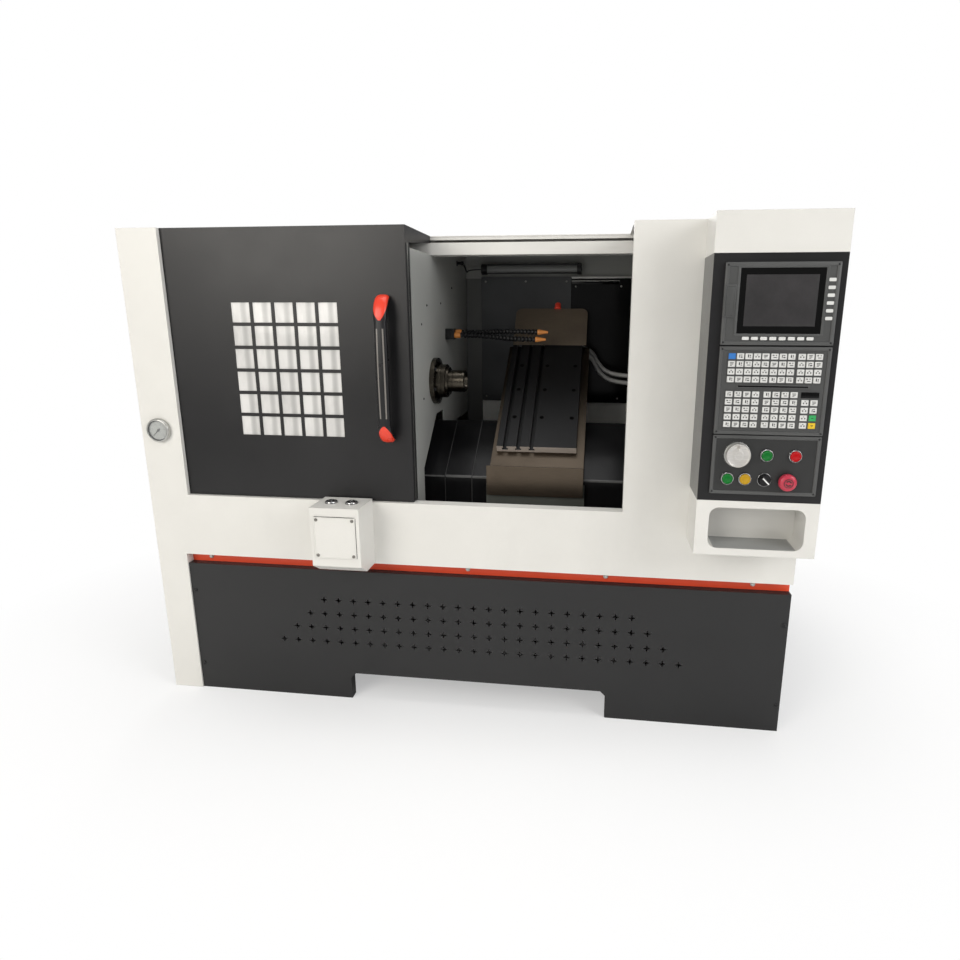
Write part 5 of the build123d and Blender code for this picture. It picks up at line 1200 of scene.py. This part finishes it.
class LATHE_OT_keyboard(bpy.types.Operator):
    """Two fields of keys with plain marks, the status window and the pen groove"""
    bl_idname = "lathe.keyboard"
    bl_label = "Keyboard"

    def key(self, size):
        """Key with a dished top."""
        wide, tall = size
        shape = Shape()
        shape.rim((wide, tall), 1.4, [(0, 0), (0, 1.3), (-0.9, 1.9), (-1.2, 1.9), (-1.2, 0)], LOCAL_MM, corner_steps=3)
        shape.slab([(x, y) for x, y, _, _ in rounded(wide - 1.6, tall - 1.6, 1.0, 3)], 0.4, 1.75, LOCAL_MM)
        return shape

    def execute(self, context):
        size = (context.scene.lathe_sizes.key_width / MM, context.scene.lathe_sizes.key_height / MM)
        # Row, column, x and z of each key: the upper field, then the lower one with a window in its corner
        keys = [(row, column, 1817 + 20.95 * column + 1.2 * (column > 4) + 4.3 * (column > 7), 1197.5 - 19.83 * row)
                for row in range(4) for column in range(11)]
        keys += [(row + 4, column, 1816.5 + 22.4 * column + 6.45 * (column > 3) + 6.45 * (column > 7),
                  1099.5 - 19.93 * row) for row in range(5) for column in range(10) if row or column < 8]
        face = MODULE_FACE - 1.5
        kinds = {name: [] for name in ("a", "b", "c", "d", "e", "blue", "green", "yellow")}
        for row, column, x, z in keys:
            kind = "abcde"[(row * 7 + column * 3 + row * column) % 5]
            kind = {(0, 0): "blue", (7, 9): "green", (8, 9): "yellow"}.get((row, column), kind)
            kinds[kind].append(((x, face, z), FRONT))
        marks = {"a": ((-0.2, 0.2, 0.12, 0.09), (0.2, 0.2, 0.06, 0.09), (0.05, -0.16, 0.24, 0.06)),
                 "b": ((-0.08, 0.06, 0.08, 0.24), (0.18, 0.12, 0.06, 0.14), (0.18, -0.2, 0.1, 0.05)),
                 "c": ((0, 0.2, 0.28, 0.06), (0, -0.02, 0.22, 0.06), (-0.1, -0.24, 0.14, 0.05)),
                 "d": ((-0.16, 0.02, 0.05, 0.26), (0.1, 0.2, 0.16, 0.06), (0.14, -0.14, 0.14, 0.1)),
                 "e": ((0, 0.22, 0.1, 0.06), (-0.2, -0.06, 0.08, 0.12), (0.2, -0.06, 0.08, 0.12)),
                 "blue": (), "green": ((0, 0, 0.16, 0.06),), "yellow": ((0, 0.1, 0.2, 0.05), (0, -0.12, 0.12, 0.05))}
        paints = {"blue": "key_blue", "green": "key_green", "yellow": "key_yellow"}
        for kind, places in kinds.items():
            self.field(kind, places, marks[kind], paints.get(kind, "key"), size)
        rest = Shape()
        rest.block((1833, MODULE_FACE - 0.9, 1115), (2018, MODULE_FACE, 1125), bevel=0.6, paint=0)
        rest.block((1838, MODULE_FACE - 1.2, 1118.2), (2013, MODULE_FACE - 0.8, 1121.8), paint=1)
        rest.block((1997, face - 0.9, 1092), (2042, face, 1107), bevel=0.5, paint=1)
        rest.piece("keyboard_window", ["panel", "glass_black"], "machine", "panel_plastic")
        return {"FINISHED"}

    def field(self, kind, places, marks, paint, size):
        """Keys of one kind and their marks: bars (x, z, half width, half height) in shares of the key."""
        seat("keys_" + kind, stock(self.key(size), "key_stock"), places, paint, "machine")
        if marks:
            wide, tall = size
            shape = Shape()
            for x, y, half_w, half_h in marks:
                shape.block(((x - half_w) * wide, (y - half_h) * tall, 1.6),
                            ((x + half_w) * wide, (y + half_h) * tall, 1.87), LOCAL_MM)
            seat("key_marks_" + kind, stock(shape, "mark_stock"), places, "ink", "machine")


# Gauge and button box


class LATHE_OT_gauge(bpy.types.Operator):
    """Pressure gauge: bezel, numbered dial and glass"""
    bl_idname = "lathe.gauge"
    bl_label = "Pressure gauge"

    def execute(self, context):
        steps = context.scene.lathe_sizes.turn_steps
        here = facing((64, 0, 932.6), FRONT)
        case = Shape()
        case.turn([(0, 0), (0, 37), (2, 39), (10.5, 39), (12, 38.4), (13.6, 37.4), (14.8, 35.6), (15, 34.2),
                   (14.4, 33.2), (8.0, 33), (8.0, 0)], here, steps)
        case.piece("gauge_body", ["zinc"], "machine", "zinc", ["gauge_case"])
        dial = Shape()
        dial.turn([(8.0, 0), (8.0, 32.8), (8.12, 32.8), (8.12, 0)], here, steps)
        for i in range(51):
            angle = math.radians(225 - 270 * i / 50)
            turn = here @ Matrix.Rotation(angle, 4, "Z")
            inner, half = (25.5, 0.45) if i % 5 == 0 else (27.6, 0.22)
            dial.block((inner, -half, 8.1), (30, half, 8.22), turn, paint=1)
        dial.turn([(8.1, 30.6), (8.1, 33), (13, 33), (13, 32.2), (8.6, 30.6)], here, steps, paint=1, ring=True)
        dial.piece("gauge_dial", ["gauge_face", "ink"], "machine", "lamp_tube")
        self.numbers(here)
        glass = Shape()
        glass.turn([(11.6, 0), (11.6, 33.0), (12.6, 33.0), (12.9, 0)], here, steps)
        glass.piece("gauge_glass", ["lens"], "machine", "pane")
        return {"FINISHED"}

    def numbers(self, here):
        """Even numbers round the dial."""
        shape = Shape()
        for i in range(6):
            angle = math.radians(225 - 54 * i)
            words = bpy.data.curves.new("number", "FONT")
            words.body = str(i * 2)
            words.size = 6.0
            words.align_x = "CENTER"
            words.align_y = "CENTER"
            holder = linked("number", words)
            data = settled_mesh(holder)
            data.transform(here @ Matrix.Translation((20.5 * math.cos(angle), 20.5 * math.sin(angle), 8.2)))
            shape.mesh.from_mesh(data)
            bpy.data.meshes.remove(data)
            bpy.data.objects.remove(holder, do_unlink=True)
        shape.piece("gauge_numbers", ["ink"], "machine", "black_plastic")


class LATHE_OT_button_box(bpy.types.Operator):
    """Push-button box: two guarded buttons and the border of its cover"""
    bl_idname = "lathe.button_box"
    bl_label = "Button box"

    def execute(self, context):
        steps = context.scene.lathe_sizes.turn_steps
        guards = Shape()
        for name, side in (("left_box_button", -33), ("right_box_button", 33)):
            here = facing((BOX_MIDDLE[0] + side, -58, 728), UP)
            cap = Shape()
            cap.turn([(-9, 0), (-9, 9.9), (6.6, 9.9), (8.2, 9.2), (9, 7.6), (9, 0)], here, steps)
            cap.turn([(8.8, 0), (8.8, 7.4), (9.3, 7.2), (9.6, 5), (9.7, 0)], here, steps, paint=1)
            cap.piece(name + "_cap", ["black", "chrome"], name, "black_plastic", [name])
            guards.turn([(0, 10.4), (0, 19), (3, 19), (5, 18), (6, 16.5), (6, 13.5), (4.5, 12), (4.5, 10.4)], here,
                        steps, ring=True)
            guards.turn([(0, 19), (0, 20), (1.2, 20), (1.2, 19)], here, steps, paint=1, ring=True)
        guards.piece("button_guards", ["chrome", "black"], "machine", "black_plastic")
        cover = Shape()
        middle = facing(BOX_MIDDLE, FRONT)
        cover.rim((132, 132), 4, [(0, -2.6), (0, 0.4), (-1.2, 0.8), (-3, 0.8), (-3.4, 0), (-3.4, -2.6)], middle)
        cover.rim((134.4, 134.4), 5, [(0, -3), (0, -2.7), (-1.2, -2.7), (-1.2, -3)], middle, paint=1)
        cover.piece("box_cover_edge", ["cream", "ink"], "machine", "cream_paint")
        return {"FINISHED"}


# Work area


class LATHE_OT_coolant(bpy.types.Operator):
    """Coolant block, segmented hoses, nuts and nozzles"""
    bl_idname = "lathe.coolant"
    bl_label = "Coolant hoses"

    # x of the block's free face; then each hose: run, and (share of the run, y, z) from its nut to its nozzle
    block_end = 938
    hoses = ((288, ((0, 511, 1236), (0.2, 511, 1236.4), (0.4, 510, 1238.5), (0.6, 508, 1240.5), (0.8, 506, 1240.6),
                    (1, 505, 1239))),
             (281, ((0, 489, 1227), (0.2, 489, 1226), (0.4, 490, 1222.5), (0.6, 492, 1217.5), (0.8, 494, 1214),
                    (1, 495, 1213))))

    def execute(self, context):
        size = context.scene.lathe_sizes
        block = Shape()
        block.block((END_WALL, 480, 1210.5), (self.block_end, 520, 1250.5), bevel=2, steps=3)
        block.turn([(0, 9), (1.6, 9), (1.6, 5), (0.4, 4.6), (0.4, 0)], facing((921, 480, 1230.5), FRONT), 24)
        block.piece("coolant_block", ["black"], "machine", "black_plastic", ["coolant_line"])
        fittings = Shape()
        for number, (run, stations) in enumerate(self.hoses):
            fittings.turn([(0, 9), (2, 11), (19, 11), (23, 9.4), (23, 0)],
                          facing((self.block_end, *stations[0][1:]), RIGHT), 12)
            fittings.turn([(-2, 0), (-2, 9.6), (6, 10), (8, 8.6), (10, 8.4), (30, 5.4), (36, 4.4), (36, 2.6), (24, 2.6),
                           (24, 0)], facing((self.block_end + 23 + run, *stations[-1][1:]), RIGHT), 28)
            line = bpy.data.curves.new("hose_line", "CURVE")
            line.dimensions = "3D"
            spine = line.splines.new("POLY")
            spine.points.add(len(stations) - 1)
            for point, (share, y, z) in zip(spine.points, stations):
                point.co = (*spot(self.block_end + 28 + (run - 12) * share, y, z), 1)
            bead = Shape()
            half = size.hose_pitch / MM / 2
            bead.turn([(-half, 5.4), (-half + 1, 8.2), (-half * 0.3, 10), (half * 0.3, 9.8), (half * 0.65, 7.4),
                       (half, 5.2), (half + 1, 5.0)], LOCAL_MM, 20)
            part = stock(bead, "hose_stock")
            mesh = grown(linked("hose_line", line), beads_tree(),
                         {"Part": part, "Pitch": size.hose_pitch, "Finish": finish("black")})
            bpy.data.objects.remove(part, do_unlink=True)
            mount(f"coolant_hose_{number + 1}", mesh, ["black"], "machine")
        fittings.piece("coolant_nozzles", ["amber"], "machine", "orange_plastic", ["coolant_fittings"])
        return {"FINISHED"}


class LATHE_OT_lamp(bpy.types.Operator):
    """Tube lamp with end caps and tie rods"""
    bl_idname = "lathe.lamp"
    bl_label = "Work lamp"

    def execute(self, context):
        here = facing(LAMP_END, RIGHT, UP)
        lamp = Shape()
        lamp.turn([(10, 0), (10, 17), (403, 17), (403, 0)], here, 40, paint=0)
        for low, high in ((0, 25), (395, 413)):
            lamp.turn([(low, 0), (low, 20.5), (low + 1.5, 22.4), (high - 1.5, 22.4), (high, 20.5), (high, 0)], here, 40,
                      paint=1)
        for angle in (0.5, 2.6, 4.7):
            rod = here @ Matrix.Translation((19.5 * math.cos(angle), 19.5 * math.sin(angle), 0))
            lamp.turn([(20, 0), (20, 2.8), (398, 2.8), (398, 0)], rod, 12, paint=1)
        for x in (LAMP_END[0], LAMP_END[0] + 393):
            lamp.block((x, 850, 1477), (x + 20, 880, 1491), bevel=1.5, paint=1)
        lamp.piece("lamp_tube", ["frosted", "black"], "machine", "lamp_tube", ["work_lamp"])
        return {"FINISHED"}


class LATHE_OT_spindle(bpy.types.Operator):
    """Turned spindle with its grooved nose and the bolts of its bearing cap"""
    bl_idname = "lathe.spindle"
    bl_label = "Spindle nose"

    def execute(self, context):
        here = facing((0, *SPINDLE_AXIS), RIGHT, UP)
        nose = Shape()
        nose.turn([(290, 20), (290, 80), (292, 82), (328, 82), (330, 80), (330, 45), (920.3, 45), (920.3, 56),
                   (922, 57.9), (934, 57.9), (935, 57), (937, 57), (938, 57.9), (950.5, 57.9), (952.3, 56),
                   (952.3, 48.5), (960, 48.2), (961, 37.4), (972, 37.4), (972.6, 36.2), (975.4, 36.2), (976, 37.4),
                   (1002, 37.4), (1002.6, 36.6), (1006, 36.6), (1006.6, 37.4), (1014, 37.4), (1016.3, 35.2),
                   (1016.3, 28), (1010, 26), (1000, 22), (996, 20)], here, 96, ring=True)
        nose.piece("spindle_nose", ["turned"], "spindle", "black_oxide", ["spindle"])
        seat("cap_bolts", cap_screw(6, 5), self.circle(6, 20, 920, 69), "oxide", "machine")
        seat("nose_bolts", cap_screw(3.6, 2.2), self.circle(4, 45, 952.3, 53), "turned", "spindle")
        return {"FINISHED"}

    def circle(self, count, start, x, radius):
        """Places of bolts round the axis; start is the first one's angle in degrees."""
        angles = [math.radians(360 / count * i + start) for i in range(count)]
        y, z = SPINDLE_AXIS
        return [((x, y + radius * math.cos(angle), z + radius * math.sin(angle)), RIGHT) for angle in angles]


class LATHE_OT_slide(bpy.types.Operator):
    """Gang plate with its tapped holes, and the hood with its plug"""
    bl_idname = "lathe.slide"
    bl_label = "Cross slide"

    # Left side and width of the hood, which starts where the plate's top does
    left, hood_width, plate_top = 1142, 282, 76

    def execute(self, context):
        # Tapped holes are shallow discs in near-black paint: painted shade standing for each hole's hollow
        hole = Shape()
        hole.turn([(0.0, 7.4), (0.3, 7.2), (0.35, 6.2), (0.05, 5.8), (0.05, 0)], LOCAL_MM, 24)
        outward = tuple(slope_frame(0, 0, 0).to_3x3() @ Vector(UP) / MM)
        places = [(tuple((slope_frame(x, u, self.plate_top).translation - GUARD_CORNER) / MM), outward)
                  for u in (213, 352, 481) for x in (1189, 1284, 1388)]
        seat("tapped_holes", stock(hole, "hole_stock"), places, "hole_shade", "cross_slide")
        self.plate()
        self.hood()
        return {"FINISHED"}

    def hood(self):
        """Hood with two round corners, tilted up from the slope, and the plug in its upper edge."""
        tilt = slope_frame(0, 600, self.plate_top) @ Matrix.Rotation(math.radians(14), 4, "X")
        hood = Shape()
        right, height, corner = self.left + self.hood_width, 176, 24
        outline = [(self.left, 0), (right, 0)]
        for x, start in ((right - corner, 0), (self.left + corner, 90)):
            angles = [math.radians(start + a) for a in range(0, 91, 10)]
            outline += [(x + corner * math.cos(a), height - corner + corner * math.sin(a)) for a in angles]
        hood.slab(outline, 0, 1.5, tilt)
        hood.piece("hood_sheet", ["hood"], "cross_slide", "stainless", ["slide_hood"])
        plug = Shape()
        place = Matrix.Translation((self.left + self.hood_width * 0.58, height, 0.75))
        here = tilt @ place @ Matrix.Rotation(-math.pi / 2, 4, "X")
        plug.turn([(-3, 0), (-3, 10), (0, 13), (3, 13), (4, 12.2), (19, 12), (22.4, 11), (24, 8), (24, 0)], here, 32)
        plug.piece("hood_plug", ["orange"], "cross_slide", "orange_plastic")

    def plate(self):
        """Gang plate with its three T-slots, dark on top and bright on its milled lower end."""
        right, high = 1410, 26
        top = [(self.left, 0), (right, 0), (right, high - 0.8), (right - 0.8, high)]
        half_slot = [(6.6, high), (6, high - 0.6), (6, 17), (10, 17), (10, 9)]
        for x in (1260, 1215, 1170):
            top += [(x + half, z) for half, z in half_slot] + [(x - half, z) for half, z in reversed(half_slot)]
        top += [(self.left + 0.8, high), (self.left, high - 0.8)]
        run = facing((0, 0, 0), (0, -math.cos(SLANT), -math.sin(SLANT)))
        run.translation = slope_frame(0, 75, self.plate_top - high).translation
        plate = Shape()
        made = plate.slab(top, -532, 0, run)
        made[1].material_index = 1
        plate.piece("gang_slots", ["gang", "gang_end"], "cross_slide", "black_oxide", ["gang_plate"])


class LATHE_OT_covers(bpy.types.Operator):
    """Wiper strips on the free edges of the telescopic way covers"""
    bl_idname = "lathe.covers"
    bl_label = "Way cover wipers"

    # Length of a cover's slope, drop of its upright front, step from one cover to the next, and the strips
    slope, drop, nest = 266, 166, 2.1
    width, height = 3.0, 1.0
    strips = (("wiper_saddle_left", 0, 1058.0, "saddle"), ("wiper_left_outer", 1, 965.0, "cover_left_outer"),
              ("wiper_saddle_right", 0, 1573.0, "saddle"), ("wiper_right", 1, 1663.0, "cover_right"))

    def bend(self, depth):
        """y and z of the bend of a cover that lies this deep."""
        rise = depth * (1 - math.sin(SLANT)) / math.cos(SLANT) * math.sin(SLANT)
        return BEND[0] + depth, BEND[1] + rise - depth * math.cos(SLANT)

    def crest(self, depth):
        """y and z of the upper end of a cover that lies this deep."""
        return (BEND[0] + self.slope * math.cos(SLANT) + depth * math.sin(SLANT),
                BEND[1] + self.slope * math.sin(SLANT) - depth * math.cos(SLANT))

    def execute(self, context):
        low = BEND[1] - self.drop
        for name, level, x, body in self.strips:
            inner = level * self.nest
            outer = inner - self.height
            path = [(self.bend(outer)[0], low), self.bend(outer), self.crest(outer), self.crest(inner),
                    self.bend(inner), (self.bend(inner)[0], low)]
            shape = Shape()
            shape.slab(path, x, x + self.width, facing((0, 0, 0), RIGHT, BACK))
            shape.piece(name, ["rubber"], body, "rubber")
        return {"FINISHED"}


class LATHE_OT_fasteners(bpy.types.Operator):
    """Screws and bolts of guard, base, control modules, button box and work area, and the rear shield's rail"""
    bl_idname = "lathe.fasteners"
    bl_label = "Fasteners"

    def execute(self, context):
        stripe = [((x, 33, 490), FRONT) for x in (173, 622, 1071, 1518, 1970)]
        base = [((x, 5, z), FRONT) for x, z in ((117, 373.5), (117, 95), (2067, 369.5), (2070, 93))]
        x, y, z = BOX_MIDDLE
        cover = [((x + side, y, z + up), FRONT) for side in (-57, 57) for up in (-57, 57)]
        panel = []
        for (low, height), face in ((SCREEN_UNIT, MODULE_FACE), (KEY_UNIT, MODULE_FACE), (PLATE_UNIT, PLATE_FACE)):
            panel += [((x, face - 1.2, z), FRONT) for x in (PANEL_LEFT + 6.5, PANEL_LEFT + PANEL_WIDTH - 6.5)
                      for z in (low + 6.5, low + height - 6.5)]
        places = ((230, 1330), (160, 1270), (160, 1030), (420, 1340), (600, 1400))
        wall = [((END_WALL, y, z), RIGHT) for y, z in places]
        shield = [((x, 870, z), FRONT) for x in (990, 1160, 1330) for z in (955, 1437)]
        shield += [((x, 862, z), FRONT) for x in (1370, 1555, 1735) for z in (955, 1416)]
        for name, part, places, paint, slot in (
                ("stripe_bolts", hex_bolt(6, 6), stripe, "zinc", "zinc"),
                ("base_screws", button_screw(7, 4), base, "black", "black_plastic"),
                ("box_screws", button_screw(5.2, 2.6), cover, "screw", "zinc"),
                ("module_screws", button_screw(3.0, 1.8), panel, "black", "black_plastic"),
                ("wall_screws", button_screw(4.0, 2.2), wall, "black", "black_plastic"),
                ("shield_screws", button_screw(4.5, 2.6), shield, "zinc", "zinc")):
            seat(name, part, places, paint, "machine")
        rail = Shape()
        rail.block((1352, 854, 1447.5), (1750, 862.2, 1454), bevel=0.6, paint=0)
        rail.block((1352, 850, 1424), (1546, 862.2, 1436), bevel=0.8, paint=1)
        rail.block((1352, 848.6, 1436), (1546, 862.2, 1438.4), bevel=0.5, paint=0)
        rail.piece("shield_rail", ["rail", "shield"], "machine", "zinc")
        return {"FINISHED"}


class LATHE_PT_panel(bpy.types.Panel):
    """Lists the lathe's operators, sizes and colours"""
    bl_idname = "LATHE_PT_panel"
    bl_label = "Slant bed lathe"
    bl_space_type = "VIEW_3D"
    bl_region_type = "UI"
    bl_category = "Lathe"

    def draw(self, context):
        for group in (context.scene.lathe_sizes, context.scene.lathe_colours):
            for key in group.__annotations__:
                self.layout.prop(group, key)
        for operator in OPERATORS:
            self.layout.operator(operator.bl_idname)


OPERATORS = (LATHE_OT_stage, LATHE_OT_finishes, LATHE_OT_cords, LATHE_OT_front_sheet, LATHE_OT_handle,
             LATHE_OT_controls, LATHE_OT_modules, LATHE_OT_keyboard, LATHE_OT_gauge, LATHE_OT_button_box,
             LATHE_OT_coolant, LATHE_OT_lamp, LATHE_OT_spindle, LATHE_OT_slide, LATHE_OT_covers,
             LATHE_OT_fasteners)
CLASSES = (LatheColours, LatheSizes, *OPERATORS, LATHE_PT_panel)


def register():
    for kind in CLASSES:
        bpy.utils.register_class(kind)
    bpy.types.Scene.lathe_colours = PointerProperty(type=LatheColours)
    bpy.types.Scene.lathe_sizes = PointerProperty(type=LatheSizes)


def unregister():
    del bpy.types.Scene.lathe_sizes
    del bpy.types.Scene.lathe_colours
    for kind in reversed(CLASSES):
        bpy.utils.unregister_class(kind)


def main():
    register()
    for operator in OPERATORS:
        group, name = operator.bl_idname.split(".")
        getattr(getattr(bpy.ops, group), name)()


if __name__ == "__main__":
    main()
